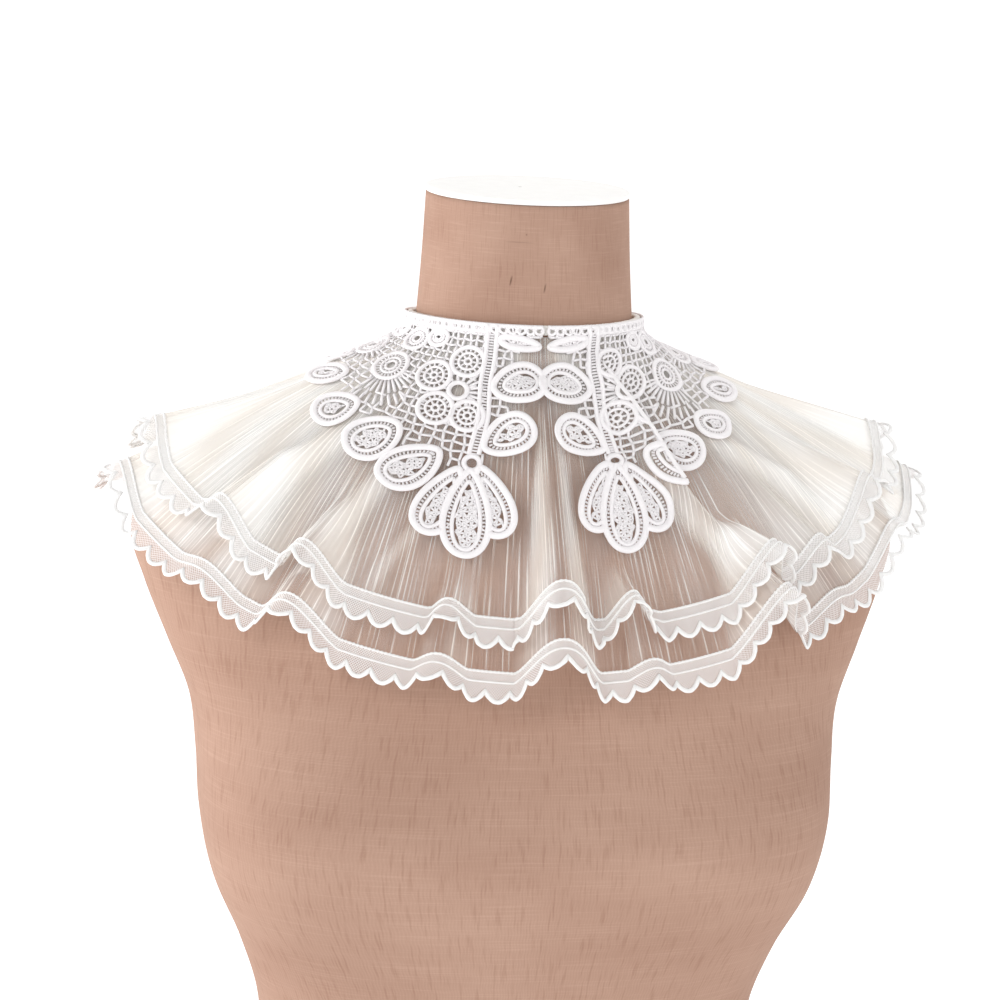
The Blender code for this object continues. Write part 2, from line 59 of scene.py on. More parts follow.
MM = 0.001


def table(columns, *rows):
    """Rows whose columns have names."""
    kind = namedtuple("Row", columns)
    return tuple(kind(*row) for row in rows)


# Form: the same sections as the solid's
FORM_RINGS = table(
    "height half_width front back front_square back_square",
    (0.000, 0.153, 0.110, 0.112, 2.15, 2.10),
    (0.045, 0.150, 0.108, 0.107, 2.15, 2.10),
    (0.090, 0.140, 0.102, 0.096, 2.15, 2.10),
    (0.130, 0.132, 0.097, 0.087, 2.20, 2.10),
    (0.165, 0.133, 0.099, 0.085, 2.30, 2.10),
    (0.200, 0.144, 0.109, 0.088, 2.50, 2.10),
    (0.235, 0.159, 0.123, 0.094, 2.80, 2.10),
    (0.270, 0.166, 0.130, 0.100, 2.90, 2.15),
    (0.300, 0.168, 0.125, 0.105, 2.75, 2.20),
    (0.330, 0.172, 0.118, 0.107, 2.50, 2.25),
    (0.360, 0.184, 0.111, 0.108, 2.35, 2.30),
    (0.390, 0.196, 0.104, 0.106, 2.20, 2.30),
    (0.415, 0.203, 0.096, 0.103, 2.02, 2.15),
    (0.434, 0.198, 0.088, 0.097, 1.85, 2.00),
    (0.449, 0.180, 0.081, 0.091, 1.65, 1.90),
    (0.462, 0.156, 0.075, 0.085, 1.60, 1.85),
    (0.475, 0.129, 0.070, 0.079, 1.62, 1.85),
    (0.486, 0.103, 0.066, 0.072, 1.75, 1.90),
    (0.496, 0.080, 0.062, 0.065, 1.95, 1.95),
    (0.506, 0.0640, 0.0588, 0.0590, 2.00, 2.00),
    (0.516, 0.0575, 0.0572, 0.0572, 2.00, 2.00),
    (0.526, 0.0568, 0.0568, 0.0568, 2.00, 2.00),
    (0.560, 0.0545, 0.0545, 0.0545, 2.00, 2.00),
    (0.593, 0.0530, 0.0530, 0.0530, 2.00, 2.00),
)
FORM_TOP = FORM_RINGS[-1].height
CAP_RADIUS = 0.0535
CAP_HEIGHT = 0.0030
SEAM_GAP = 0.0003

# The top of the neck slants down towards the front, from just above the neckband
NECK_SLANT_DEG = 5.0
NECK_SLANT_FROM = 0.533

# Neckband and the line that the cloth leaves it on
NECKLINE_HEIGHT = 0.5300
NECKLINE_DIP = 0.0010
BAND_HEIGHT = 0.0050
BAND_INNER_RADIUS = 0.0576
BAND_THICKNESS = 0.0034
BACK_OPENING_DEG = 1.0
SHEET_RADIUS = 0.0588
TIER_DROP = 0.0009

# Drape: the cloth's slope below the horizontal, near the neck and at the lowest hem
DRAPE = table(
    "angle start end",
    (0, 62, 75),
    (30, 57, 70),
    (60, 38, 61),
    (90, 20, 34),
    (120, 33, 48),
    (150, 53, 69),
    (180, 57, 75),
)
NECK_SLOPE_DEG = 88.0
NECK_TURN = 0.007
INTEGRAL_STEPS = 32

# Tiers
UPPER_REACH = 0.152
LOWER_REACH = 0.178
TRIM_DEPTH = 0.0110
FULL_REACH = LOWER_REACH + TRIM_DEPTH
PLEAT_CROWDING = 0.10
TIER_GAP_AT_NECK = 0.0016
TIER_GAP_AT_HEM = 0.0042
SIDE_FLARE = 0.005
CRINKLE_COLUMNS = 4

# Folds of each tier: the crest's angle, half width and lift at the hem in mm, and
# the reach in mm where the fold starts to open
FOLD_COLUMNS = "angle half_width lift start"
LOWER_FOLDS = table(
    FOLD_COLUMNS,
    (-158, 8, 22, 60),
    (-138, 7.5, 17, 60),
    (-120, 8, 21, 60),
    (-104, 6, 12, 60),
    (-86, 7, 13, 70),
    (-67, 6, 6, 90),
    (-52, 8, 16, 104),
    (-26, 7, 8, 128),
    (0, 11, 21, 30),
    (21, 6, 6, 122),
    (45.5, 7.5, 30, 106),
    (60, 6, 5, 95),
    (74, 6.5, 9, 84),
    (90, 7, 10, 70),
    (109, 6, 11, 60),
    (126, 8, 21, 60),
    (143, 7, 16, 60),
    (161, 8, 22, 60),
)
UPPER_FOLDS = table(
    FOLD_COLUMNS,
    (-165, 7, 10, 50),
    (-148, 7, 14, 50),
    (-127, 7, 12, 50),
    (-108, 7, 10, 55),
    (-89, 6, 7, 62),
    (-68, 6, 9, 84),
    (-51, 7, 8, 104),
    (-24, 6, 8, 118),
    (-1, 10, 6, 40),
    (16, 6, 20, 117),
    (46, 7, 8, 106),
    (59, 6, 6, 94),
    (72, 6.5, 9, 82),
    (89, 6, 6, 62),
    (110, 7, 8, 55),
    (129, 7, 12, 50),
    (149, 7, 14, 50),
    (166, 7, 9, 50),
)
FOLD_GROWTH = 1.2
FOLD_NARROWEST = 0.45
FOLD_RISE = 0.85

# Ridges: long soft folds of the upper tier, each by rows of reach, the crest's angle,
# its height, its half width before and after the crest in mm, and its share of white
RIDGE_COLUMNS = "reach angle height before after white"
RIDGES = (
    table(
        RIDGE_COLUMNS,
        (10, 22, 0.0, 9, 4, 0.0),
        (21.5, 27, 2.5, 12, 4, 0.0),
        (39, 31, 5.0, 14, 4, 0.0),
        (56.5, 33.8, 6.5, 14, 4, 0.1),
        (74, 35.5, 7.0, 14, 4.5, 0.3),
        (90, 37.5, 7.0, 14, 5, 0.6),
        (108, 40.5, 5.0, 13, 7, 1.0),
        (126, 44, 2.5, 12, 10, 1.0),
        (158, 47, 0.0, 12, 10, 0.7),
    ),
    table(
        RIDGE_COLUMNS,
        (60, -42, 0.0, 7, 7, 0.2),
        (80, -46, 1.2, 8, 8, 0.8),
        (98, -48.5, 2.2, 8, 8, 1.0),
        (122, -51.5, 2.0, 9, 9, 0.9),
        (158, -54, 0.0, 9, 9, 0.6),
    ),
    table(
        RIDGE_COLUMNS,
        (50, -60, 0.0, 7, 7, 0.3),
        (77, -62, 1.6, 8, 8, 0.9),
        (106, -66, 2.6, 9, 9, 1.0),
        (134, -67, 1.2, 9, 9, 0.8),
        (158, -68, 0.0, 9, 9, 0.5),
    ),
    table(
        RIDGE_COLUMNS,
        (66, 55, 0.0, 8, 8, 0.3),
        (84, 60, 2.2, 9, 8, 1.0),
        (108, 64.5, 3.0, 9, 9, 1.0),
        (140, 66, 1.0, 9, 9, 0.8),
        (158, 66, 0.0, 9, 9, 0.5),
    ),
    table(
        RIDGE_COLUMNS,
        (84, -35, 0.0, 4, 4, 0.0),
        (105, -36, 0.8, 5, 5, 0.5),
        (134, -41, 0.8, 5, 5, 0.5),
        (158, -43, 0.0, 5, 5, 0.2),
    ),
    table(
        RIDGE_COLUMNS,
        (44, 121, 0.0, 8, 8, 0.2),
        (76, 123, 2.4, 10, 9, 0.8),
        (112, 127, 3.2, 11, 9, 1.0),
        (158, 128, 0.0, 10, 9, 0.6),
    ),
    table(
        RIDGE_COLUMNS,
        (40, 150, 0.0, 8, 8, 0.2),
        (72, 148, 2.0, 9, 10, 0.7),
        (120, 150, 2.8, 10, 10, 1.0),
        (158, 150, 0.0, 9, 9, 0.6),
    ),
    table(
        RIDGE_COLUMNS,
        (44, -118, 0.0, 8, 8, 0.2),
        (80, -122, 2.6, 9, 10, 0.8),
        (116, -126, 3.0, 10, 10, 1.0),
        (158, -127, 0.0, 9, 9, 0.6),
    ),
    table(
        RIDGE_COLUMNS,
        (42, -144, 0.0, 8, 8, 0.2),
        (70, -146, 2.2, 9, 9, 0.7),
        (118, -149, 3.0, 10, 10, 1.0),
        (158, -149, 0.0, 9, 9, 0.6),
    ),
)

# The box pleat at the centre front: its half width in mm at each reach
BOX_ANGLE = -2.5
BOX_HEIGHT = 0.003
BOX_BRIDGE = 1.8
BOX_REACHES = (22, 36, 70, 108, 160)
BOX_HALF_WIDTHS = (6.5, 7.5, 9.0, 12.5, 17.0)

LACE_END_DEG = 171.0

# The right half: drawn to the front, with a strip taken into the fold that crosses it
TAKEN_FRONT_DEG = 4.0
TAKEN_STRIP_DEG = 9.0
TAKEN_SHOWS_DEG = 2.0
TAKEN_REACH = 0.004
FOLD_EDGE_REACHES = (20, 86)
FOLD_REACHES = (21.5, 39, 56.5, 74, 90)
FOLD_ANGLES = (27.0, 31.0, 33.8, 35.5, 37.5)
HIDDEN_SHARE = 0.15

# Leaves: angles in degrees, reaches and sizes in mm; a drop of 1 is a pointed petal
LEAF_BULGE = 0.77
LEAVES = table(
    "angle reach length width turn drop",
    (11.5, 4.2, 22, 10, -101, 0.45),
    (11.8, 26.6, 28, 24, 105, 0.35),
    (14.6, 55.2, 29, 23, 125, 0.50),
    (18.3, 89.0, 40, 22, 22, 0.60),
    (31.0, 92.0, 40, 22, -16, 0.60),
    (24.1, 96.0, 47, 25, 4, 0.60),
    (40.6, 79.0, 34, 23, -42, 0.45),
    (53.0, 71.5, 31, 25, -38, 0.35),
    (67.2, 67.0, 26, 22, -37, 0.35),
    (80.5, 55.0, 25, 19, -50, 0.35),
    (92.0, 43.5, 21, 16, -50, 0.30),
    (105.0, 37.0, 19, 16, -20, 0.30),
    (118.0, 35.0, 19, 16, 0, 0.30),
    (131.0, 35.0, 19, 16, 0, 0.30),
    (144.0, 35.0, 19, 16, 0, 0.30),
    (157.0, 35.0, 19, 16, 0, 0.30),
)

# Rings: round flowers, each a cord ring with bars that run in to a small eye
RINGS = table(
    "angle reach radius eye bars",
    (33.8, 17.0, 8.2, 1.7, 8),
    (45.6, 28.5, 8.4, 1.7, 8),
    (40.2, 46.0, 8.4, 1.7, 8),
    (29.0, 46.5, 7.8, 1.7, 8),
    (65.5, 9.5, 7.6, 2.6, 10),
    (65.0, 31.0, 9.2, 3.0, 12),
    (52.5, 5.5, 5.6, 1.8, 6),
    (86.0, 26.0, 8.6, 3.0, 10),
    (84.0, 5.5, 6.8, 2.2, 8),
    (106.0, 18.0, 8.6, 3.0, 10),
    (127.0, 18.0, 8.6, 3.0, 10),
    (150.0, 18.0, 8.6, 3.0, 10),
)

# Bursts: straight bars between two circles about a centre, over a sector in degrees
BURSTS = table(
    "angle reach inner outer start end bars",
    (34.5, 34.0, 5.2, 9.5, 0, 338, 14),
    (34.5, 34.0, 6.0, 13.8, 150, 232, 6),
    (65.0, 31.0, 10.6, 18.6, 78, 172, 11),
    (65.0, 31.0, 19.8, 26.0, 84, 140, 8),
    (86.0, 26.0, 9.8, 15.0, 20, 170, 12),
)

# Corners of the ground, of the stem's line and of the motifs' centres
Corner = namedtuple("Corner", "angle reach")
GROUND = table(
    Corner._fields,
    (1.2, -5.6),
    (1.2, 1),
    (8, 5),
    (12.5, 13),
    (12.5, 46),
    (18, 60),
    (21.5, 76),
    (32, 80),
    (44, 76),
    (58, 68),
    (72, 58),
    (86, 46),
    (100, 38),
    (LACE_END_DEG, 34),
    (LACE_END_DEG, -5.6),
)
STEM = table(
    Corner._fields,
    (24.6, -5.2),
    (25.0, 6.4),
    (24.2, 15),
    (25.0, 23.5),
    (24.6, 32),
    (23.5, 42.5),
    (23.5, 50.5),
    (24.2, 59),
    (24.8, 66),
)
STEM_HALF = 2.3
NODE = Corner(24.8, 71.0)
NODE_RADIUS = 3.7
EYE = Corner(34.5, 34.0)
EYE_RADIUS = 4.5

# The row of small rings in the lace's neck edge
EDGE_REACH = -3.3
EDGE_RADIUS = 1.9
EDGE_STEP_DEG = 4.1

# How fast the cloth widens with reach where a fold's width is measured
RIDGE_WIDENING = 0.62
BOX_WIDENING = 0.45


def smooth_through(wanted, known_at, values):
    """A cubic through a table's rows, with the rows' own gradients as tangents."""
    known_at = np.asarray(known_at, float)
    values = np.asarray(values, float)
    tangents = np.gradient(values, known_at)
    wanted = np.clip(wanted, known_at[0], known_at[-1])
    index = np.clip(np.searchsorted(known_at, wanted) - 1, 0, len(known_at) - 2)
    step = known_at[index + 1] - known_at[index]
    t = (wanted - known_at[index]) / step
    return (
        (2 * t**3 - 3 * t**2 + 1) * values[index]
        + (t**3 - 2 * t**2 + t) * step * tangents[index]
        + (3 * t**2 - 2 * t**3) * values[index + 1]
        + (t**3 - t**2) * step * tangents[index + 1]
    )


def form_radius(angle, height):
    """Radius of a rounded section: |sin/side|^p + |cos/depth|^p to the power -1/p."""
    heights, side, *depths_and_squares = np.array(FORM_RINGS).T
    side = smooth_through(height, heights, side)
    read = [smooth_through(height, heights, column) for column in depths_and_squares]
    facing_front = np.cos(angle) > 0
    depth = np.where(facing_front, read[0], read[1])
    power = np.where(facing_front, read[2], read[3])
    total = np.abs(np.sin(angle) / side) ** power + np.abs(np.cos(angle) / depth) ** power
    return total ** (-1 / power)


def on_plan(angle, radius, height):
    """Points at an angle round the neck's axis, zero at the front."""
    angle, radius, height = np.broadcast_arrays(angle, radius, height)
    return np.stack([radius * np.sin(angle), -radius * np.cos(angle), height], axis=-1)


def neck_slant(depth, height):
    """The depth's share of a slope that grows evenly from above the band to the top."""
    share = np.clip((height - NECK_SLANT_FROM) / (FORM_TOP - NECK_SLANT_FROM), 0, 1)
    return depth * share * math.tan(math.radians(NECK_SLANT_DEG))


def neckline(angle):
    """The band's upper edge: a level line less a small cosine of twice the angle."""
    return NECKLINE_HEIGHT - NECKLINE_DIP * np.cos(2 * angle)


def slope_at(angle, reach):
    """Slope of the cloth: even growth with reach, and a turn that dies away from the band."""
    from_front = np.abs(np.degrees(angle))
    rows = [row.angle for row in DRAPE]
    start = smooth_through(from_front, rows, [row.start for row in DRAPE])
    end = smooth_through(from_front, rows, [row.end for row in DRAPE])
    down = np.maximum(reach, 0.0)
    fanned = start + (end - start) * down / FULL_REACH
    turned = (NECK_SLOPE_DEG - start) * np.exp(-down / NECK_TURN)
    return np.radians(fanned + turned)


def sheet_point(angle, reach, lift):
    """The band's edge, plus the sums of the slope's cosine and sine, and a lift square to it."""
    angle, reach, lift = np.broadcast_arrays(angle, reach, lift)
    shares = (np.arange(INTEGRAL_STEPS) + 0.5) / INTEGRAL_STEPS
    out = np.zeros(angle.shape)
    down = np.zeros(angle.shape)
    for share in shares:
        slope = slope_at(angle, reach * share)
        out += np.cos(slope) / INTEGRAL_STEPS
        down += np.sin(slope) / INTEGRAL_STEPS
    radius = SHEET_RADIUS + reach * out
    height = neckline(angle) - BAND_HEIGHT - TIER_DROP - reach * down
    here = slope_at(angle, reach)
    return on_plan(angle, radius + lift * np.sin(here), height + lift * np.cos(here))


def folds_lift(angle, reach, folds, full):
    """Each fold is an arch (1 - t^2)^2 across its width, opening from its start to the hem."""
    lift = np.zeros(np.broadcast(angle, reach).shape)
    for fold in folds:
        opened = np.clip((reach - fold.start * MM) / (full - fold.start * MM), 0, 1)
        opened = opened**FOLD_GROWTH
        share = FOLD_NARROWEST + (1 - FOLD_NARROWEST) * opened
        across = np.abs(angle - math.radians(fold.angle)) / (math.radians(fold.half_width) * share)
        arch = (1 - np.clip(across, 0, 1) ** 2) ** 2
        lift = np.maximum(lift, fold.lift * MM * opened * arch)
    return lift


def ridges(angle, reach):
    """Sum of ridges, height * (1 - t^2)^2 with t across the ridge over its half width."""
    angle, reach = np.broadcast_arrays(angle, reach)
    height, white = np.zeros(angle.shape), np.zeros(angle.shape)
    radius = SHEET_RADIUS + RIDGE_WIDENING * np.maximum(reach, 0)
    for rows in RIDGES:
        places, crests, heights, before, after, whites = np.array(rows, float).T
        columns = (crests, heights, before, after, whites)
        at = [np.interp(reach / MM, places, column) for column in columns]
        aside = (angle - np.radians(at[0])) * radius / MM
        across = np.abs(aside) / np.where(aside < 0, at[2], at[3])
        arch = (1 - np.clip(across, 0, 1) ** 2) ** 2
        inside = (reach / MM > places[0]) & (reach / MM < places[-1])
        height += at[1] * MM * arch * inside
        white = np.maximum(white, at[4] * arch * inside)
    return height, white


def box_pleat(angle, reach, fall=0.10):
    """1 on the flat top of the box pleat, falling to 0 over a share of its half width.

    A narrow fall ends at the pleat's edge, and a wide one starts there.
    """
    angle, reach = np.broadcast_arrays(angle, reach)
    radius = SHEET_RADIUS + BOX_WIDENING * np.maximum(reach, 0)
    half = np.interp(reach / MM, BOX_REACHES, BOX_HALF_WIDTHS) * MM
    across = np.abs(angle - math.radians(BOX_ANGLE)) * radius / half
    end = 1.05 + (fall if fall > 1 else 0)
    edge = np.clip((end - across) / fall, 0, 1)
    opened = np.clip((reach / MM - BOX_REACHES[0]) / 8, 0, 1)
    return edge**2 * (3 - 2 * edge) * opened


def lower_sheet(angle, reach):
    """Drawn-up reach and lift of the lower tier."""
    folds = folds_lift(angle, reach, LOWER_FOLDS, FULL_REACH)
    return reach - FOLD_RISE * folds, folds


def upper_sheet(angle, reach):
    """The lower tier's folds, plus the upper tier's own, a gap and a flare at the sides."""
    full = UPPER_REACH + TRIM_DEPTH
    down = np.clip(reach / full, 0, None)
    gap = TIER_GAP_AT_NECK + (TIER_GAP_AT_HEM - TIER_GAP_AT_NECK) * down
    flare = SIDE_FLARE * np.sin(angle) ** 2 * down**2
    folds = folds_lift(angle, reach, LOWER_FOLDS, FULL_REACH)
    folds = folds + folds_lift(angle, reach, UPPER_FOLDS, full)
    soft = ridges(angle, reach)[0] + BOX_HEIGHT * box_pleat(angle, reach)
    return reach - FOLD_RISE * folds, folds + gap + flare + soft


def lace_sheet(angle, reach):
    """The lace lies a settled gap above the upper tier and bridges the box pleat's edges."""
    down = np.maximum(reach, 0)
    _, lift = upper_sheet(angle, down)
    bridge = box_pleat(angle, down, BOX_BRIDGE) - box_pleat(angle, down)
    return reach, lift + look().lace.gap + BOX_HEIGHT * bridge


def on_sheet(sheet, angle, reach, raised=0.0):
    """A point of one cloth layer, raised off its middle surface."""
    angle, reach, raised = np.broadcast_arrays(angle, reach, raised)
    drawn, lift = sheet(angle, reach)
    return sheet_point(angle, drawn, lift + raised)


def on_sheet_with_normal(sheet, angle, reach, raised=0.0):
    """Points of a layer and their outward normals, from differences along both directions."""
    step_angle, step_reach = 0.002, 0.0004
    here = on_sheet(sheet, angle, reach)
    aside = on_sheet(sheet, angle + step_angle, reach) - here
    below = on_sheet(sheet, angle, reach + step_reach) - here
    normal = unit(np.cross(below, aside))
    return here + normal * np.asarray(raised)[..., None], normal


def pairs_of(first, second):
    """Two arrays as the last axis of one."""
    return np.stack(np.broadcast_arrays(first, second), axis=-1)


def unit(vectors):
    """Vectors divided by their own lengths."""
    return vectors / np.maximum(np.linalg.norm(vectors, axis=-1, keepdims=True), 1e-12)


def angle_at(share):
    """Angle at a share of the way round, a little closer at the sides."""
    end = math.radians(180 - BACK_OPENING_DEG)
    even = (2 * np.asarray(share) - 1) * end
    return even + PLEAT_CROWDING * np.sin(2 * even) * (1 - (even / end) ** 8)


def uneven(places, *waves):
    """A repeatable unevenness: the sum of sines, each a size, a frequency and a start."""
    full = 2 * math.pi
    return sum(size * np.sin(full * (often * places + start)) for size, often, start in waves)


def chance(numbers, seed):
    """A repeatable number from 0 to 1 for each whole number: the end digits of a large sine."""
    return np.modf(np.abs(np.sin(numbers * 12.9898 + seed) * 43758.5453))[0]


Part = namedtuple("Part", "points faces corner_uv")


def grid_part(points, uv, wrap=False):
    """Four-sided faces between rows and columns; uv has a column more where it wraps."""
    rows, columns = points.shape[:2]
    index = np.arange(rows * columns).reshape(rows, columns)
    if wrap:
        index = np.concatenate([index, index[:, :1]], axis=1)
    corners = (np.s_[:-1, :-1], np.s_[1:, :-1], np.s_[1:, 1:], np.s_[:-1, 1:])
    faces = np.stack([index[corner] for corner in corners], axis=-1).reshape(-1, 4)
    uvs = np.stack([uv[corner] for corner in corners], axis=-2).reshape(-1, 4, 2)
    return Part(points.reshape(-1, 3), faces, uvs)


def tube_part(centres, normals, width, height, sides=6, closed=False):
    """Ovals carried along many paths at once, across the surface and square to it."""
    paths, count = centres.shape[:2]
    if closed:
        tangent = np.roll(centres, -1, axis=1) - np.roll(centres, 1, axis=1)
    else:
        tangent = np.gradient(centres, axis=1)
    tangent = unit(tangent)
    across = unit(np.cross(normals, tangent))
    outward = np.cross(tangent, across)
    turn = np.linspace(0, 2 * math.pi, sides, endpoint=False)
    width, height = (np.broadcast_to(size, (paths, count)) for size in (width, height))
    reach_across = width[..., None, None] / 2 * np.cos(turn)[:, None] * across[..., None, :]
    reach_out = height[..., None, None] / 2 * np.sin(turn)[:, None] * outward[..., None, :]
    points = centres[..., None, :] + reach_across + reach_out
    index = np.arange(paths * count * sides).reshape(paths, count, sides)
    loops = np.concatenate([index, index[:, :1]], axis=1) if closed else index
    rings = np.concatenate([loops, loops[..., :1]], axis=2)
    corners = (np.s_[:, :-1, :-1], np.s_[:, :-1, 1:], np.s_[:, 1:, 1:], np.s_[:, 1:, :-1])
    faces = np.stack([rings[corner] for corner in corners], axis=-1).reshape(-1, 4)
    gaps = np.linalg.norm(np.diff(centres, axis=1, append=centres[:, :1]), axis=-1)
    along = np.concatenate([np.zeros((paths, 1)), np.cumsum(gaps, axis=1)], axis=1)
    along = along[:, : rings.shape[1], None] + np.zeros(sides + 1)
    around = np.broadcast_to(np.arange(sides + 1) / sides, along.shape)
    uv = pairs_of(along, around)
    uvs = np.stack([uv[corner] for corner in corners], axis=-2).reshape(-1, 4, 2)
    if not closed:
        k = np.arange(sides // 2 - 1)
        lid = np.stack([k, k + 1, sides - 2 - k, sides - 1 - k], axis=-1)
        ends = np.concatenate([index[:, 0][:, lid[:, ::-1]], index[:, -1][:, lid]])
        faces = np.concatenate([faces, ends.reshape(-1, 4)])
        uvs = np.concatenate([uvs, np.zeros((ends.size // 4, 4, 2))])
    return Part(points.reshape(-1, 3), faces, uvs)


def add_piece(name, parts, material, replaces=(), values=None):
    """Joins parts into one smooth mesh with its own UV map, and lets it ride on the frame."""
    starts = np.cumsum([0] + [len(part.points) for part in parts[:-1]])
    points = np.concatenate([part.points for part in parts])
    faces = np.concatenate([part.faces + start for part, start in zip(parts, starts)])
    mesh = bpy.data.meshes.new(name)
    mesh.from_pydata(points.tolist(), [], faces.tolist())
    layer = mesh.uv_layers.new(name="cloth")
    layer.data.foreach_set("uv", np.concatenate([part.corner_uv for part in parts]).ravel())
    for key, value in (values or {}).items():
        attribute = mesh.attributes.new(key, "FLOAT", "POINT")
        attribute.data.foreach_set("value", np.ascontiguousarray(value.ravel(), dtype=np.float32))
    mesh.shade_smooth()
    mesh.materials.append(material)
    piece = bpy.data.objects.new(name, mesh)
    bpy.context.scene.collection.objects.link(piece)
    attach(piece, "root")
    for node in replaces:
        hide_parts(node)
        bpy.data.objects[node].data.materials[0] = material
    return piece


class Socket:
    """A shader output that can be used in sums and products like a number."""

    def __init__(self, shader, output):
        self.shader, self.output = shader, output

    def math(self, operation, *others, clamp=False):
        node = self.shader.tree.nodes.new("ShaderNodeMath")
        node.operation, node.use_clamp = operation, clamp
        for place, value in enumerate((self, *others)):
            self.shader.put(node.inputs[place], value)
        return Socket(self.shader, node.outputs[0])

    def __add__(self, other):
        return self.math("ADD", other)

    def __mul__(self, other):
        return self.math("MULTIPLY", other)

    def __sub__(self, other):
        return self.math("SUBTRACT", other)

    def __truediv__(self, other):
        return self.math("DIVIDE", other)

    def __pow__(self, other):
        return self.math("POWER", other)

    def __rsub__(self, other):
        return self * -1 + other

    def __rtruediv__(self, other):
        return self.math("POWER", -1) * other

    __radd__ = __add__
    __rmul__ = __mul__

    def sin(self):
        return self.math("SINE")

    def wave(self, pitch):
        """A ridge between 0 and 1 that comes again at each pitch."""
        return (self * (2 * math.pi / pitch)).sin() * 0.5 + 0.5

    def crest(self):
        """1 at each whole number and 0 half way between."""
        return (self.math("FRACT") - 0.5).math("ABSOLUTE") * 2

    def between(self, low, high):
        """0 below low and 1 above high, clamped."""
        return ((self - low) / (high - low)).math("ADD", 0.0, clamp=True)

    def clamped(self):
        return self.math("ADD", 0.0, clamp=True)


class Shader:
    """One material's node tree."""

    def __init__(self, name):
        self.material = bpy.data.materials.new(name)
        self.material.use_nodes = True
        self.tree = self.material.node_tree
        self.tree.nodes.clear()

    def put(self, place, value):
        if isinstance(value, Socket):
            self.tree.links.new(value.output, place)
        else:
            place.default_value = value

    def node(self, kind, settings=None, inputs=None, output=0):
        """Any node: its settings first, then the values or links of its sockets."""
        node = self.tree.nodes.new(kind)
        for key, value in (settings or {}).items():
            setattr(node, key, value)
        for key, value in (inputs or {}).items():
            self.put(node.inputs[key], value)
        return Socket(self, node.outputs[output]) if len(node.outputs) else None

    def uv(self):
        """The piece's own map as two numbers."""
        return self.first_two(self.node("ShaderNodeUVMap", {"uv_map": "cloth"}))

    def first_two(self, place):
        """The first two numbers of a place."""
        return [self.node("ShaderNodeSeparateXYZ", inputs={0: place}, output=k) for k in (0, 1)]

    def noise(self, x, y, detail):
        """Soft noise between about 0.2 and 0.8 at a place of two numbers."""
        place = self.node("ShaderNodeCombineXYZ", inputs={0: x, 1: y})
        settings = {"Vector": place, "Scale": 1.0, "Detail": detail, "Roughness": 0.5}
        return self.node("ShaderNodeTexNoise", {"noise_dimensions": "2D"}, settings)

    def attribute(self, name):
        return self.node("ShaderNodeAttribute", {"attribute_name": name}, output=2)

    def colour(self, share, first, second):
        """A colour between two."""
        return self.node("ShaderNodeMix", {"data_type": "RGBA"}, {0: share, 6: first, 7: second}, 2)

    def sheer(self, cover, base):
        """Matt cloth over clear air, mixed by the share of light that it stops."""
        cloth = self.principled(Base_Color=base, Roughness=0.8, Specular_IOR_Level=0.0)
        clear = self.node("ShaderNodeBsdfTransparent")
        return self.finish(self.node("ShaderNodeMixShader", inputs={0: cover, 1: clear, 2: cloth}))

    def bump(self, height, distance, strength):
        settings = {"Height": height, "Distance": distance, "Strength": strength}
        return self.node("ShaderNodeBump", inputs=settings)

    def principled(self, **inputs):
        named = {key.replace("_", " "): value for key, value in inputs.items()}
        return self.node("ShaderNodeBsdfPrincipled", inputs=named)

    def finish(self, surface):
        self.node("ShaderNodeOutputMaterial", inputs={"Surface": surface})
        return self.material


# Dark specks in the neck's linen: place round it, height, half width, half length,
# lean and depth of tone
NECK_MARKS = (
    (-0.01704, 0.5522, 0.0006, 0.0032, 0.15, 1.0),
    (0.00024, 0.5487, 0.0006, 0.0030, 0.15, 0.9),
    (-0.0136, 0.5733, 0.0085, 0.0005, 0.0, 0.35),
    (-0.00984, 0.5775, 0.0006, 0.0006, 0.0, 0.6),
)

# Where every light points, and how far the camera's line passes the cap's centre
LIGHT_AIM = (0, 0, 0.45)
CAMERA_LEFT = 0.014481
CAMERA_DOWN = 0.162939

# The peg's mark on the cap, across and back from its centre
PEG_MARK = (-0.0040, 0.0007)


def rgba(colour):
    return (*colour, 1.0)


def linen_material():
    """Plain weave: two sets of uneven threads in relief, with slubs and a mottled tone."""
    form = look().form
    shader = Shader("linen_weave")
    x, y = shader.uv()
    warp = (x + (y * 700).sin() * 0.00012).wave(form.thread_pitch)
    weft = (y + (x * 620).sin() * 0.00012).wave(form.thread_pitch)
    long_slub = shader.noise(x * 1500, y * 60, detail=1).between(0.55, 0.75)
    cross_slub = shader.noise(x * 50, y * 1400, detail=1).between(0.55, 0.75)
    mottle = shader.noise(x * 22, y * 22, detail=2)
    shade = (warp * weft * 0.3 + cross_slub * 0.22 - long_slub * 0.32 + mottle * 0.75).clamped()
    base = shader.colour(shade, rgba(form.linen_shade), rgba(form.linen_colour))
    marks = None
    for place, height, across, along, lean, depth in NECK_MARKS:
        near_x = x / across - y * (lean / across) - (place - height * lean) / across
        near_x = near_x.math("ABSOLUTE")
        near_y = (y / along - height / along).math("ABSOLUTE")
        mark = (1 - near_x.math("MAXIMUM", near_y)).clamped() * depth
        marks = mark if marks is None else marks.math("MAXIMUM", mark)
    base = shader.colour(marks, base, (0.10, 0.05, 0.03, 1.0))
    normal = shader.bump(warp * 0.5 + weft * 0.5, 0.00012, 0.5)
    return shader.finish(
        shader.principled(Base_Color=base, Roughness=0.88, Specular_IOR_Level=0.2, Normal=normal)
    )


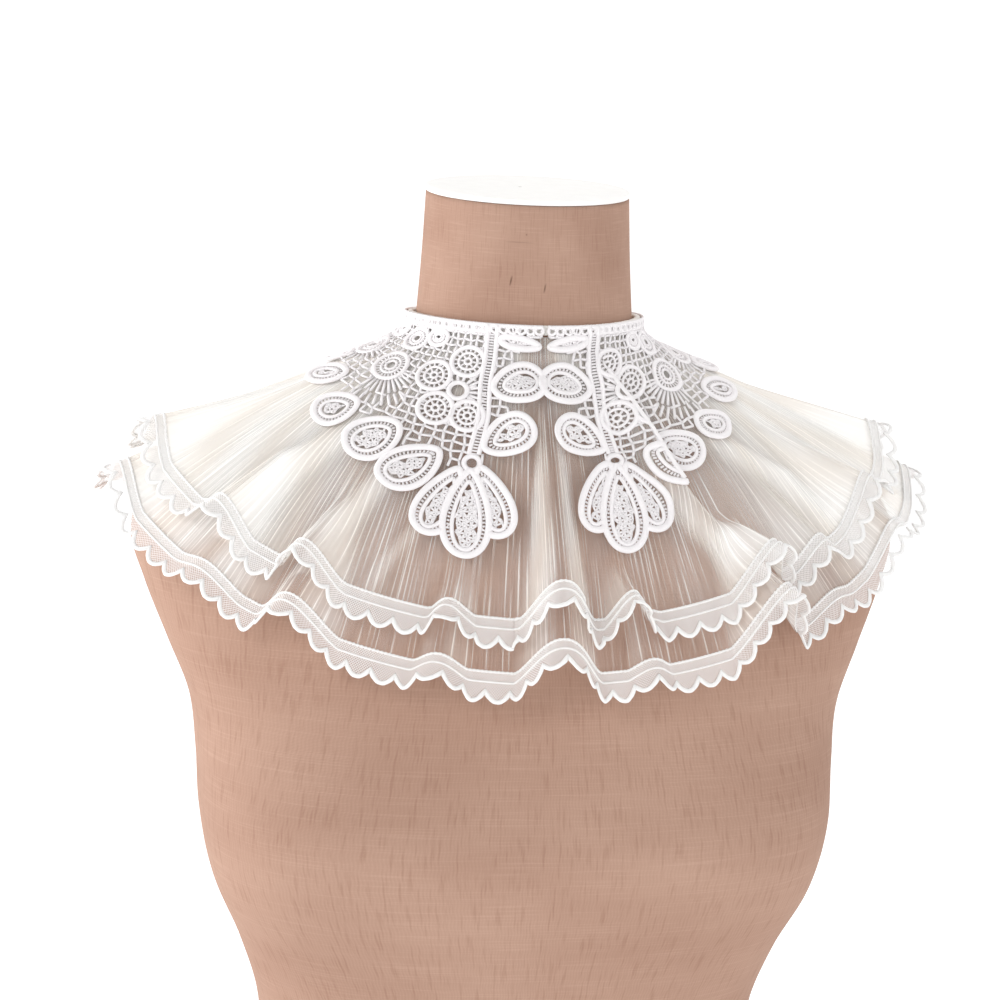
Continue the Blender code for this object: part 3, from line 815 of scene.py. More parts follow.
def cap_material():
    """Pale paint with a small peg mark at the centre of the cap."""
    shader = Shader("pale_paint")
    place = shader.node("ShaderNodeTexCoord", output=3)
    x, y = (number - mark for number, mark in zip(shader.first_two(place), PEG_MARK))
    radius = (x * x + y * y).math("SQRT")
    mark = 1 - radius.between(0.0007, 0.0012)
    tone = shader.noise(x * 120, y * 120, detail=4)
    colour = rgba(look().form.cap_colour)
    base = shader.colour(tone * 0.25, colour, (0.74, 0.70, 0.66, 1.0))
    base = shader.colour(mark * 0.7, base, (0.30, 0.26, 0.24, 1.0))
    normal = shader.bump(tone, 0.0002, 0.3)
    return shader.finish(shader.principled(Base_Color=base, Roughness=0.55, Normal=normal))


def chiffon_material():
    """Sheer cloth: clear between its threads, whiter on crinkle crests and fold sides."""
    chiffon = look().chiffon
    shader = Shader("crinkled_chiffon")
    x = shader.uv()[0]
    line, faint, fullness = (shader.attribute(name) for name in ("line", "faint", "fullness"))
    lines = x.crest() ** 8 * line
    second = (x * 2.31 + 0.2).crest() ** 9 * faint * (fullness + 0.5)
    cover = chiffon.cover + lines * chiffon.line_cover + second * 0.27
    # The fullness attribute adds real gathering, a painted highlight at the shoulders and painted
    # shade at the centre front and on the box pleat.
    cover = (cover + fullness * chiffon.full_cover).clamped()
    base = shader.colour(faint, rgba(chiffon.shade_colour), rgba(chiffon.colour))
    return shader.sheer(cover, base)


def net_material():
    """Fine net: two slanting sets of threads with clear holes between."""
    shader = Shader("fine_net")
    x, y = shader.uv()
    one = (x + y * 0.9).wave(look().trim.net_pitch) ** 2
    two = (x - y * 0.9).wave(look().trim.net_pitch) ** 2
    cover = (one.math("MAXIMUM", two) * 0.6 + 0.16).clamped()
    return shader.sheer(cover, shader.colour(one, (0.89, 0.88, 0.88, 1), (0.96, 0.95, 0.95, 1)))


def thread_material(name, colour, stitch_pitch=0.00045):
    """Satin-stitched cotton: fine ridges across the cord and a little fuzz in the tone."""
    shader = Shader(name)
    x, y = shader.uv()
    stitch = (x + (x * 900).sin() * 0.0001).wave(stitch_pitch)
    fuzz = shader.noise(x * 2500, y * 6, detail=1)
    darker = rgba([c * 0.88 for c in colour])
    base = shader.colour(stitch * 0.4 + fuzz * 0.6, darker, rgba(colour))
    normal = shader.bump(stitch, 0.00008, 0.8)
    return shader.finish(
        shader.principled(Base_Color=base, Roughness=0.8, Specular_IOR_Level=0.2, Normal=normal)
    )


def pearl_material():
    """Polished shell: a pale tone with soft clouds under a clear coat."""
    shader = Shader("shell")
    x, y = shader.uv()
    clouds = shader.noise(x * 700, y * 5, detail=3)
    base = shader.colour(clouds, (0.84, 0.80, 0.76, 1), rgba(look().fastening.button_colour))
    normal = shader.bump(clouds, 0.0001, 0.2)
    return shader.finish(
        shader.principled(Base_Color=base, Roughness=0.25, Coat_Weight=0.6, Normal=normal)
    )


def floor_material():
    """Pale painted floor with a very slight tone."""
    stage = look().stage
    shader = Shader("floor_paint")
    place = shader.node("ShaderNodeTexCoord", output=3)
    tone = shader.node("ShaderNodeTexNoise", inputs={"Vector": place, "Scale": 3.0})
    darker = rgba([c * 0.985 for c in stage.floor_colour])
    base = shader.colour(tone, darker, rgba(stage.floor_colour))
    glow = {"Emission_Color": (1, 1, 1, 1), "Emission_Strength": stage.floor_glow}
    return shader.finish(shader.principled(Base_Color=base, Roughness=0.9, **glow))


def colour_property(name, description, default):
    return FloatVectorProperty(
        name=name, description=description, default=default, subtype="COLOR", min=0, max=1
    )


def length_property(name, description, default):
    return FloatProperty(name=name, description=description, default=default, min=0, unit="LENGTH")


def share_property(name, description, default):
    return FloatProperty(
        name=name, description=description, default=default, min=0, max=1, subtype="FACTOR"
    )


def angle_property(name, description, degrees):
    return FloatProperty(
        name=name, description=description, default=math.radians(degrees), subtype="ANGLE"
    )


class FormLook(bpy.types.PropertyGroup):
    linen_colour: colour_property("Linen", "Light tone of the cover", (0.485, 0.318, 0.243))
    linen_shade: colour_property("Linen shade", "Darker tone of the cover", (0.34, 0.200, 0.145))
    cap_colour: colour_property("Cap", "Colour of the neck cap", (0.93, 0.92, 0.90))
    thread_pitch: length_property("Thread pitch", "Distance between linen threads", 0.0007)


class ChiffonLook(bpy.types.PropertyGroup):
    colour: colour_property("Chiffon", "Light tone of the sheer cloth", (0.975, 0.96, 0.935))
    shade_colour: colour_property("Chiffon shade", "Warmer tone", (0.95, 0.90, 0.84))
    cover: share_property("Cover", "Least share of light stopped", 0.065)
    line_cover: share_property("Line cover", "Share added on a crinkle's crest", 0.60)
    # Full cover scales bunched cloth, and with it a painted highlight at the shoulders and painted
    # shade at the centre front.
    full_cover: share_property("Full cover", "Share added where cloth bunches", 0.60)
    crinkles: IntProperty(
        name="Crinkles", description="Crinkle pleats round a tier", default=310, min=8
    )
    crinkle_height: length_property("Crinkle height", "Height of a pleat at the hem", 0.0011)


class TrimLook(bpy.types.PropertyGroup):
    scallop: length_property("Scallop", "Width of one scallop along the hem", 0.0125)
    scallop_depth: length_property("Scallop depth", "Depth of the edge's notches", 0.0055)
    overlap: length_property("Overlap", "Width of lace that lies over the tier's hem", 0.0048)
    border: length_property("Border", "Width of the padded scalloped border", 0.0023)
    cord: length_property("Cord", "Width of the two cords along the trim", 0.0013)
    net_pitch: length_property("Net pitch", "Distance between net threads", 0.0013)


class LaceLook(bpy.types.PropertyGroup):
    colour: colour_property("Lace", "Colour of the lace thread", (0.93, 0.90, 0.91))
    gap: length_property("Gap", "Height of the lace over the upper tier", 0.0021)
    border: length_property("Border", "Width of a leaf's padded border", 0.0036)
    ladder: length_property("Ladder", "Width of the open row inside a leaf's border", 0.0013)
    rung_pitch: length_property("Rung pitch", "Distance between bars of that row", 0.0020)
    cord: length_property("Cord", "Width of the inner cords", 0.0022)
    inner_ring: share_property("Inner ring", "Share of a ring's radius", 0.58)
    thread: length_property("Thread", "Width of bars and net threads", 0.0012)
    ground: length_property("Ground bar", "Width of the ground's bars", 0.0015)
    net_pitch: length_property("Net pitch", "Distance between bars of the ground", 0.0044)
    heart_pitch: length_property("Heart pitch", "Distance between threads in a leaf", 0.0024)


class FasteningLook(bpy.types.PropertyGroup):
    button_colour: colour_property("Button", "Colour of the shell button", (0.92, 0.90, 0.87))
    button_radius: length_property("Button radius", "Radius of the button", 0.0035)
    loop_thread: length_property("Loop", "Thickness of the loop's thread", 0.0010)


class StageLook(bpy.types.PropertyGroup):
    floor_colour: colour_property("Floor", "Colour of the floor", (0.55, 0.55, 0.55))
    floor_glow: share_property("Floor glow", "Light that the floor gives", 0.75)
    sky: share_property("Sky", "Strength of the soft light from above", 0.42)
    key: FloatProperty(
        name="Key light",
        description="Power of the large light",
        default=14.0,
        min=0,
        subtype="POWER",
    )
    view_azimuth: angle_property("View turn", "Camera's angle round the form", -10)
    view_elevation: angle_property("View height", "Camera's angle above level", 8)
    view_roll: angle_property("View roll", "Camera's turn about its own line", 1.7)
    distance: length_property("Distance", "From the cap's centre to the camera", 1.5)
    lens: FloatProperty(
        name="Lens", description="Focal length in millimetres", default=103.7, min=10
    )


class CollarLook(bpy.types.PropertyGroup):
    form: PointerProperty(type=FormLook)
    chiffon: PointerProperty(type=ChiffonLook)
    trim: PointerProperty(type=TrimLook)
    lace: PointerProperty(type=LaceLook)
    fastening: PointerProperty(type=FasteningLook)
    stage: PointerProperty(type=StageLook)


def look():
    return bpy.context.scene.false_collar


class FALSECOLLAR_OT_form(bpy.types.Operator):
    """Builds the linen-covered form and its neck cap"""

    bl_idname = "false_collar.form"
    bl_label = "Dress form"
    columns, rows = 216, 236
    map_radius, cap_edge = 0.055, 0.0010

    def execute(self, context):
        angle = np.linspace(-math.pi, math.pi, self.columns + 1)
        height = np.linspace(FORM_TOP, 0, self.rows)[:, None]
        radius = form_radius(angle[None, :], height)
        points = on_plan(angle, radius, height)
        points[..., 2] += neck_slant(points[..., 1], height)
        uv = pairs_of(angle * self.map_radius, height)
        poles = np.array([(0, 0, FORM_TOP), (0, 0, 0.0)])[:, None, None]
        top, base = np.broadcast_to(poles, (2, 1, self.columns, 3))
        sides = grid_part(points[:, :-1], uv, wrap=True)
        lid = grid_part(np.concatenate([top, points[:1, :-1]]), uv[:2], wrap=True)
        foot = grid_part(np.concatenate([points[-1:, :-1], base]), uv[:2], wrap=True)
        form = add_piece("form", [sides, lid, foot], linen_material(), ["form_body"])
        merge_doubles(form)
        self.cap()
        return {"FINISHED"}

    def cap(self):
        """A disc with a soft edge: quarter turns of a small circle above and below."""
        edge = self.cap_edge
        turn = np.radians(np.linspace(90, -90, 13))
        low = FORM_TOP + SEAM_GAP
        middle = np.where(turn > 0, low + CAP_HEIGHT - edge, low + edge)
        rim = CAP_RADIUS - edge + edge * np.cos(turn)
        radius = np.concatenate([[0, 0.02, 0.04], rim, [0.03, 0]])
        level = np.concatenate([[low + CAP_HEIGHT] * 3, middle + edge * np.sin(turn), [low] * 2])
        angle = np.linspace(-math.pi, math.pi, 97)
        points = on_plan(angle[None, :-1], radius[:, None], level[:, None])
        points[..., 2] += neck_slant(points[..., 1], FORM_TOP)
        uv = pairs_of(angle[None, :], level[:, None])
        part = grid_part(points, uv, wrap=True)
        merge_doubles(add_piece("cap", [part], cap_material(), ["neck_cap"]))


def merge_doubles(piece):
    """Joins the points of each pole and seam into one."""
    mesh = bmesh.new()
    mesh.from_mesh(piece.data)
    bmesh.ops.remove_doubles(mesh, verts=mesh.verts[:], dist=1e-6)
    mesh.to_mesh(piece.data)
    mesh.free()


class FALSECOLLAR_OT_neckband(bpy.types.Operator):
    """Builds the bound neckband, open at the centre back"""

    bl_idname = "false_collar.neckband"
    bl_label = "Neckband"

    def execute(self, context):
        end = math.radians(180 - BACK_OPENING_DEG)
        angle = np.linspace(-end, end, 481)[None, :]
        turn = np.radians(np.linspace(-78, 258, 19))[:, None]
        puckers = uneven(angle, (0.00008, 30, 0), (0.00006, 47, 0.3), (0.00005, 71, 0.6))
        out = np.sign(np.cos(turn)) * np.abs(np.cos(turn)) ** 0.6 * (BAND_THICKNESS / 2 + puckers)
        rise = np.sign(np.sin(turn)) * np.abs(np.sin(turn)) ** 0.6 * (BAND_HEIGHT / 2 + puckers)
        radius = BAND_INNER_RADIUS + BAND_THICKNESS / 2 + out
        points = on_plan(angle, radius, neckline(angle) - BAND_HEIGHT / 2 + rise)
        uv = pairs_of(angle * radius, turn / 6)
        material = thread_material("binding", (0.92, 0.90, 0.86), 0.0006)
        band = add_piece("band", [grid_part(points, uv)], material, ["neckband"])
        return {"FINISHED"}


def tier_piece(name, sheet, reach, replaces, material):
    """Crinkles are a cosine of their own count, which runs unevenly round the tier.

    The cloth's cover grows with its steepness across, on ridges and near the band,
    where it gathers. At the shoulders it grows partly for denser gathers and partly as
    a painted highlight of the light from above; less of it near the band at the centre
    front and on the box pleat's top is painted shade between the lace halves. Each
    crinkle has its own line, shown for part of its length.
    """
    chiffon = look().chiffon
    share = np.linspace(0, 1, 6001)
    count = chiffon.crinkles * share
    count += uneven(share, (0.35, 37, 0), (0.3, 61, 0.2), (0.5, 11, 0.4))
    count -= count[0]
    columns = int(count[-1] * CRINKLE_COLUMNS)
    phase = np.arange(columns + 1) / CRINKLE_COLUMNS
    share = np.interp(phase, count, share)
    share[-1] = 1.0
    down = np.linspace(0, 1, 66)[:, None]
    reaches = reach * down
    strong = 0.7 + 0.3 * np.sin(phase * 0.9 + 2.2 * np.sin(phase * 0.13))
    deep = 0.35 + 0.65 * down
    crinkle = chiffon.crinkle_height / 2 * np.cos(2 * math.pi * phase) * strong * deep
    drift = uneven(share, (0.0030, 9, 0.1), (0.0022, 23, 0.5))
    angle = angle_at(share)[None, :] + drift * np.sin(math.pi * down) * np.sin(5 * down)
    points = on_sheet(sheet, angle, reaches, crinkle)
    smooth = on_sheet(sheet, angle[:, ::CRINKLE_COLUMNS], reaches)
    step = np.gradient(smooth, axis=1)
    rise = np.abs(step[..., 2]) / np.maximum(np.linalg.norm(step, axis=-1), 1e-9)
    fullness = np.array([np.interp(phase, phase[::CRINKLE_COLUMNS], row) for row in rise])
    white = ridges(angle, reaches)[1]
    # Share of the box pleat's flat top, where lower cover is painted shade between the lace halves.
    box_top_painted_shade = box_pleat(angle, reaches) if sheet is upper_sheet else 0.0
    # Cover near the band is gathered cloth, cut at the centre front as painted shade between the
    # lace halves.
    centre_painted_shade = 1 - 0.85 * np.exp(-(((angle - math.radians(BOX_ANGLE)) / 0.16) ** 2))
    gathered_and_painted_shade = 0.9 * np.exp(-((reaches / 0.042) ** 2)) * centre_painted_shade
    # The sin^8 term whitens the shoulders: partly denser gathers at the sides, partly a painted
    # highlight of the light from above.
    fullness = np.maximum(fullness - 0.12, 0) ** 1.3 + np.sin(angle) ** 8 + 0.5 * white
    # Adds the near-band cover with its painted shade at the centre front, less painted shade on the
    # box pleat's top.
    fullness += gathered_and_painted_shade - 0.04 * box_top_painted_shade
    own, start = chance(np.round(phase), 1.7), chance(np.round(phase), 5.3)
    line = own + 0.4 * np.sin(reaches * (50 + 70 * own) + 6.28 * start) + 0.5 * white
    faint = 0.5 + 0.5 * np.sin(phase * 0.7 + 2 * np.sin(reaches * 40 + phase * 0.05))
    values = {"fullness": fullness, "line": np.clip((line - 0.3) / 0.6, 0, 1), "faint": faint}
    uv = pairs_of(phase[None, :], reaches)
    return add_piece(name, [grid_part(points, uv)], material, [replaces], values)


class FALSECOLLAR_OT_tiers(bpy.types.Operator):
    """Builds the two crinkled chiffon tiers"""

    bl_idname = "false_collar.tiers"
    bl_label = "Chiffon tiers"

    def execute(self, context):
        sheer = chiffon_material()
        lower = tier_piece("lower_tier", lower_sheet, LOWER_REACH + 0.001, "tier_lower", sheer)
        upper = tier_piece("upper_tier", upper_sheet, UPPER_REACH + 0.001, "tier_upper", sheer)
        return {"FINISHED"}


def trim_pieces(name, sheet, reach, replaces, net_cloth, thread):
    """Net with a scalloped edge |sin|, two cords along it and a padded border."""
    trim = look().trim
    fine = angle_at(np.linspace(0, 1, 9001))
    hem = on_sheet(sheet, fine, reach + TRIM_DEPTH / 2)
    length = np.concatenate([[0], np.cumsum(np.linalg.norm(np.diff(hem, axis=0), axis=1))])
    scallops = round(length[-1] / trim.scallop)

    def path(points):
        along = np.linspace(0, length[-1], points)
        return np.interp(along, length, fine), along * scallops / length[-1], along

    def edge(count):
        notch = 1 - np.abs(np.sin(math.pi * count)) ** 0.75
        return reach + TRIM_DEPTH - trim.scallop_depth * notch

    angle, count, along = path(scallops * 10 + 1)
    top, bottom = reach - trim.overlap, edge(count) - trim.border / 2
    down = np.linspace(0, 1, 6)[:, None]
    reaches = top + (bottom - top) * down
    ripple = 0.0004 * np.sin(2 * math.pi * count) * down
    points = on_sheet_with_normal(sheet, angle[None, :], reaches, 0.0010 + ripple)[0]
    uv = pairs_of(along[None, :], reaches)
    net = add_piece(name + "_net", [grid_part(points, uv)], net_cloth, [replaces])

    def cord(points, reaches, raised, width, height, sides, swell=0.0, pitch=1.0):
        """A cord whose width is a size times 1 + swell * sin of its length over the pitch."""
        angle, count, along = path(points)
        at = reaches(count) if callable(reaches) else np.full(points, reaches)
        centre, normal = on_sheet_with_normal(sheet, angle, at, np.full(points, raised))
        width = width * (1 + swell * np.sin(along * 2 * math.pi / pitch))
        return tube_part(centre[None], normal[None], width[None], height, sides)

    def border(count):
        return edge(count) - trim.border / 2

    parts = [
        cord(4200, reach - trim.overlap, 0.0010, trim.cord, 0.0012, 6, 0.3, 0.0021),
        cord(2200, reach + 0.0002, 0.0012, trim.cord * 0.8, 0.0010, 6),
        cord(scallops * 14 + 1, border, 0.0012, trim.border, 0.0013, 8, 0.06, 0.0031),
    ]
    cords = add_piece(name + "_cords", parts, thread)
    return net, cords, length[-1]


class FALSECOLLAR_OT_trims(bpy.types.Operator):
    """Builds the scalloped net trims with their cords and padded borders"""

    bl_idname = "false_collar.trims"
    bl_label = "Hem trims"

    def execute(self, context):
        net_cloth = net_material()
        thread = thread_material("trim_thread", (0.93, 0.92, 0.91))
        width = TRIM_DEPTH + look().trim.overlap
        for name, sheet, reach, node in (
            ("lower_trim", lower_sheet, LOWER_REACH, "trim_lower"),
            ("upper_trim", upper_sheet, UPPER_REACH, "trim_upper"),
        ):
            net, cords, length = trim_pieces(name, sheet, reach, node, net_cloth, thread)
            round(length * (width - 0.003), 5)
        return {"FINISHED"}


def fold_strip(reach_mm):
    """Shift to the front, the fold's first angle and the strip's width, all in degrees."""
    front = TAKEN_FRONT_DEG * np.clip(reach_mm / 20, 0, 1)
    strip = np.maximum(TAKEN_STRIP_DEG * np.clip((reach_mm - 10) / 25, 0, 1), 0.01)
    return front, np.interp(reach_mm, FOLD_REACHES, FOLD_ANGLES) + front, strip


def in_fold(line, side):
    """True where a point of the right half lies in the fold."""
    _, fold, strip = fold_strip(line[..., 1] / MM)
    angle = np.degrees(line[..., 0])
    return (side > 0) & (angle > fold) & (angle < fold + strip)


def taken_up(line):
    """Moves angles to the front, squeezes the strip at the fold and eases out to the back end."""
    angle, reach = np.degrees(line[..., 0]), line[..., 1] / MM
    front, fold, strip = fold_strip(reach)
    into = np.clip((angle - fold) / strip, 0, 1)
    hidden = strip * (1 - TAKEN_SHOWS_DEG / TAKEN_STRIP_DEG) * into
    to_back = np.clip((LACE_END_DEG - angle) / (LACE_END_DEG - fold - strip), 0, 1)
    lower = np.clip((reach - 60) / 15, 0, 1)
    angle = np.radians(angle - (front + hidden) * to_back)
    return pairs_of(angle, line[..., 1] - TAKEN_REACH * lower)


def neck_distance(angle, reach):
    """Distance of a lace point from the neck's axis."""
    point = sheet_point(np.asarray(angle, float), np.asarray(reach, float), 0.0)
    return np.hypot(point[..., 0], point[..., 1])


def place_on_lace(centre_deg, reach_mm, across, down):
    """Angle and reach of points given in metres across and down from a motif's centre."""
    angle, reach = math.radians(centre_deg), reach_mm * MM
    return np.stack([angle + across / neck_distance(angle, reach), reach + down], axis=-1)


def covered(line, leaves):
    """True where a point lies under a leaf or the node, inside the middle of its border."""
    inset = look().lace.border / 2
    under = np.hypot(*flat_offset(NODE, line[..., 0], line[..., 1])) < NODE_RADIUS * MM
    for leaf in leaves:
        along, across = leaf_offset(leaf, line[..., 0], line[..., 1])
        share = np.clip(along / (leaf.length / 2 * MM - inset), -1, 1)
        narrow = narrowing(np.arccos(share), leaf.drop)
        half = (leaf.width / 2 * MM - inset) * np.sqrt(1 - share**2) * narrow
        under |= np.abs(across) < half
    return under


def narrowing(t, drop):
    """Width of a leaf at t round it: 1 - drop + drop * cos(t / 2) / bulge."""
    return 1 - drop + drop * np.cos(t / 2) / LEAF_BULGE


def leaf_outline(leaf, inset, points=90):
    """An oval that narrows to a tip: cos t along and sin t times the narrowing across."""
    t = np.linspace(-math.pi, math.pi, points, endpoint=False)
    along = (leaf.length / 2 * MM - inset) * np.cos(t) + inset * leaf.drop * 0.6
    across = (leaf.width / 2 * MM - inset) * np.sin(t) * narrowing(t, leaf.drop)
    return turned(leaf, along, across)


def turned(leaf, along, across):
    """The leaf's own directions turned into its place on the lace."""
    turn = math.radians(leaf.turn)
    aside = -along * math.sin(turn) + across * math.cos(turn)
    down = along * math.cos(turn) + across * math.sin(turn)
    return place_on_lace(leaf.angle, leaf.reach, aside, down)


def heart_threads(leaf, inset):
    """An uneven triangular net inside the leaf's inner outline, as pairs of points."""
    pitch = look().lace.heart_pitch
    half_length, half_width = leaf.length / 2 * MM - inset, leaf.width / 2 * MM - inset
    rows, columns = int(half_length / pitch) + 2, int(half_width / pitch) + 2
    i, j = np.meshgrid(np.arange(-rows, rows + 1), np.arange(-columns, columns + 1), indexing="ij")
    seed = leaf.angle * 7.3 + leaf.reach
    along = pitch * (0.9 * i + 0.30 * np.sin(i * 5.1 + j * 3.7 + seed))
    across = pitch * (j + 0.5 * (i % 2) + 0.30 * np.sin(i * 2.3 + j * 7.9 + seed * 1.7))
    share = np.clip(along / half_length, -1, 1)
    narrow = np.maximum(narrowing(np.arccos(share), leaf.drop), 0.05)
    inside = share**2 + (across / (half_width * narrow)) ** 2 < 1
    spots = np.stack([along + inset * leaf.drop * 0.6, across], axis=-1)
    pairs = []
    odd = (i[:-1, :-1] % 2).astype(bool)
    for a, b, keep in (
        (np.s_[:, :-1], np.s_[:, 1:], None),
        (np.s_[:-1, :], np.s_[1:, :], None),
        (np.s_[:-1, :-1], np.s_[1:, 1:], odd),
        (np.s_[:-1, 1:], np.s_[1:, :-1], ~odd),
    ):
        kept = inside[a] & inside[b]
        if keep is not None:
            kept &= keep
        pairs.append(np.stack([spots[a][kept], spots[b][kept]], axis=1))
    pairs = np.concatenate(pairs)
    return turned(leaf, pairs[..., 0], pairs[..., 1])


def rungs(outer, inner, pitch):
    """Short bars between two closed outlines, one at each pitch along the outer one."""
    point = on_sheet(lace_sheet, outer[:, 0], outer[:, 1])
    gaps = np.linalg.norm(np.roll(point, -1, axis=0) - point, axis=-1)
    at = np.concatenate([[0], np.cumsum(gaps)])
    total, count = gaps.sum(), max(int(gaps.sum() / pitch), 3)
    wanted = np.arange(count) * total / count
    closed = [np.concatenate([line, line[:1]]) for line in (outer, inner)]
    ends = [
        np.stack([np.interp(wanted, at, line[:, k]) for k in (0, 1)], axis=-1) for line in closed
    ]
    return np.stack(ends, axis=1)


def circle(centre, radius_mm, points=60):
    """A closed circle on the lace about a centre given by its angle and reach."""
    t = np.linspace(0, 2 * math.pi, points, endpoint=False)
    radius = radius_mm * MM
    return place_on_lace(centre.angle, centre.reach, radius * np.cos(t), radius * np.sin(t))


def spokes(centre, inner_mm, outer_mm, start, end, count):
    """Straight bars from an inner circle to an outer one, evenly from start to end."""
    t = np.radians(np.linspace(start, end, count))[:, None]
    radius = np.array([inner_mm, outer_mm]) * MM
    return place_on_lace(centre.angle, centre.reach, radius * np.cos(t), radius * np.sin(t))


def inside_ground(angle, reach):
    """Even-odd rule against the ground's corners."""
    x, y = np.degrees(angle), reach / MM
    inside = np.zeros(x.shape, bool)
    for a, b in zip(GROUND, GROUND[1:] + GROUND[:1]):
        crosses = (a.reach > y) != (b.reach > y)
        span = b.reach - a.reach if b.reach != a.reach else 1e-9
        inside ^= crosses & (x < (b.angle - a.angle) * (y - a.reach) / span + a.angle)
    return inside


def flat_offset(centre, angle, reach):
    """Metres across and down from a centre, the opposite of place_on_lace."""
    at = math.radians(centre.angle), centre.reach * MM
    return (angle - at[0]) * neck_distance(*at), reach - at[1]


def leaf_offset(leaf, angle, reach):
    """Metres along and across a leaf from its centre, the opposite of turned."""
    aside, down = flat_offset(leaf, angle, reach)
    turn = math.radians(leaf.turn)
    along = -aside * math.sin(turn) + down * math.cos(turn)
    return along, aside * math.cos(turn) + down * math.sin(turn)


def outside_motifs(angle, reach, side):
    """True where a point is in no leaf, ring, burst, eye or stem."""
    free = ~in_fold(np.stack([angle, reach], axis=-1), side)
    for leaf in LEAVES:
        along, across = leaf_offset(leaf, angle, reach)
        free &= (along / leaf.length) ** 2 + (across / leaf.width) ** 2 > 0.92 * (MM / 2) ** 2
    for ring in RINGS:
        free &= np.hypot(*flat_offset(ring, angle, reach)) > ring.radius * MM
    for burst in BURSTS:
        aside, down = flat_offset(burst, angle, reach)
        away = np.hypot(aside, down) / MM
        turned_to = np.degrees(np.arctan2(down, aside)) % 360
        within = (turned_to > burst.start) & (turned_to < burst.end)
        free &= ~((away < burst.outer) & (away > burst.inner) & within)
    for hole, radius in ((EYE, EYE_RADIUS), (NODE, NODE_RADIUS)):
        free &= np.hypot(*flat_offset(hole, angle, reach)) > radius * MM
    aside = (angle - np.radians(stem_angle(reach / MM))) * neck_distance(angle, reach)
    return free & (np.abs(aside) > STEM_HALF * MM)


def stem_angle(reach_mm):
    """Angle of the stem in degrees, straight between the rows of its table."""
    angles, reaches = zip(*STEM)
    return np.interp(reach_mm, reaches, angles)


def ground_bars(side):
    """Uneven square net over the ground: bars between neighbours that clear the motifs."""
    pitch = look().lace.net_pitch
    step = pitch / neck_distance(1.0, 0.03)
    columns = np.arange(int(math.radians(LACE_END_DEG) / step))
    i, k = np.meshgrid(columns, np.arange(-1, 19), indexing="ij")
    angle = step * (i + 0.6 + 0.13 * np.sin(i * 2.7 + k * 1.9))
    reach = pitch * (k + 0.13 * np.sin(i * 3.1 + k * 2.4))
    spots = np.stack([angle, reach], axis=-1)
    both_ways = ((spots[:-1], spots[1:]), (spots[:, :-1], spots[:, 1:]))
    bars = np.concatenate([np.stack(ends, axis=2).reshape(-1, 2, 2) for ends in both_ways])
    ends_in = inside_ground(bars[..., 0], bars[..., 1]).all(axis=1)
    return bars[ends_in & outside_motifs(*bars.mean(axis=1).T, side)]


def lace_lines():
    """Every line of one lace half by kind: borders, closed cords and short bars."""
    lace = look().lace
    borders, cords, threads = [], [], []
    hidden = {"borders": [], "cords": []}
    for place, leaf in enumerate(LEAVES):
        over = LEAVES[place + 1 :]
        borders.append(leaf_outline(leaf, lace.border / 2))
        hidden["borders"].append(covered(borders[-1], over))
        if leaf.width < 12:
            threads.append(heart_threads(leaf, lace.border * 0.8))
            continue
        inner = lace.border + lace.ladder
        bars = [
            rungs(leaf_outline(leaf, lace.border), leaf_outline(leaf, inner), lace.rung_pitch),
            heart_threads(leaf, inner + lace.cord * 0.8),
        ]
        threads += [rows[~covered(rows.mean(axis=1), over)] for rows in bars]
        cords.append(leaf_outline(leaf, inner + lace.cord / 2))
        hidden["cords"].append(covered(cords[-1], over))
    wide = [circle(ring, ring.radius) for ring in RINGS]
    wide += [circle(EYE, EYE_RADIUS), circle(NODE, NODE_RADIUS)]
    eyes = [circle(ring, ring.eye) for ring in RINGS]
    eyes += [circle(ring, ring.radius * lace.inner_ring) for ring in RINGS]
    for ring in RINGS:
        inner = ring.radius * lace.inner_ring
        rows = ((ring.eye, inner, ring.bars), (inner, ring.radius, 2 * ring.bars))
        for start, end, bars in rows:
            threads.append(spokes(ring, start, end, 0, 360 - 360 / bars, bars))
    bursts = [spokes(row, row.inner, row.outer, row.start, row.end, row.bars) for row in BURSTS]
    hidden = {key: np.stack(value) for key, value in hidden.items()}
    return borders, cords, hidden, wide, eyes, threads, np.concatenate(bursts)


def stem_lines():
    """Two cords a little apart, and the rungs between them."""
    reach = np.linspace(STEM[0].reach, STEM[-1].reach, 44)
    angle = np.convolve(np.pad(stem_angle(reach), 4, "edge"), np.ones(9) / 9, "valid")
    away = neck_distance(np.radians(angle), reach * MM)
    sides = [
        np.stack([np.radians(angle) + aside * MM / away, reach * MM], axis=-1)
        for aside in (-STEM_HALF, STEM_HALF)
    ]
    return sides, np.stack(sides, axis=1)


def neck_lines():
    """Two cords along the neck's edge with rungs between, and cords down the back end."""
    angle = np.radians(np.linspace(1.2, LACE_END_DEG, 240))
    upper, lower = (pairs_of(angle, at * MM) for at in (-5.0, -1.6))
    back = pairs_of(math.radians(LACE_END_DEG), np.linspace(-5.0, 33, 40) * MM)
    return [upper, lower[34:]], [back], np.stack([upper, lower], axis=1)[34::2]


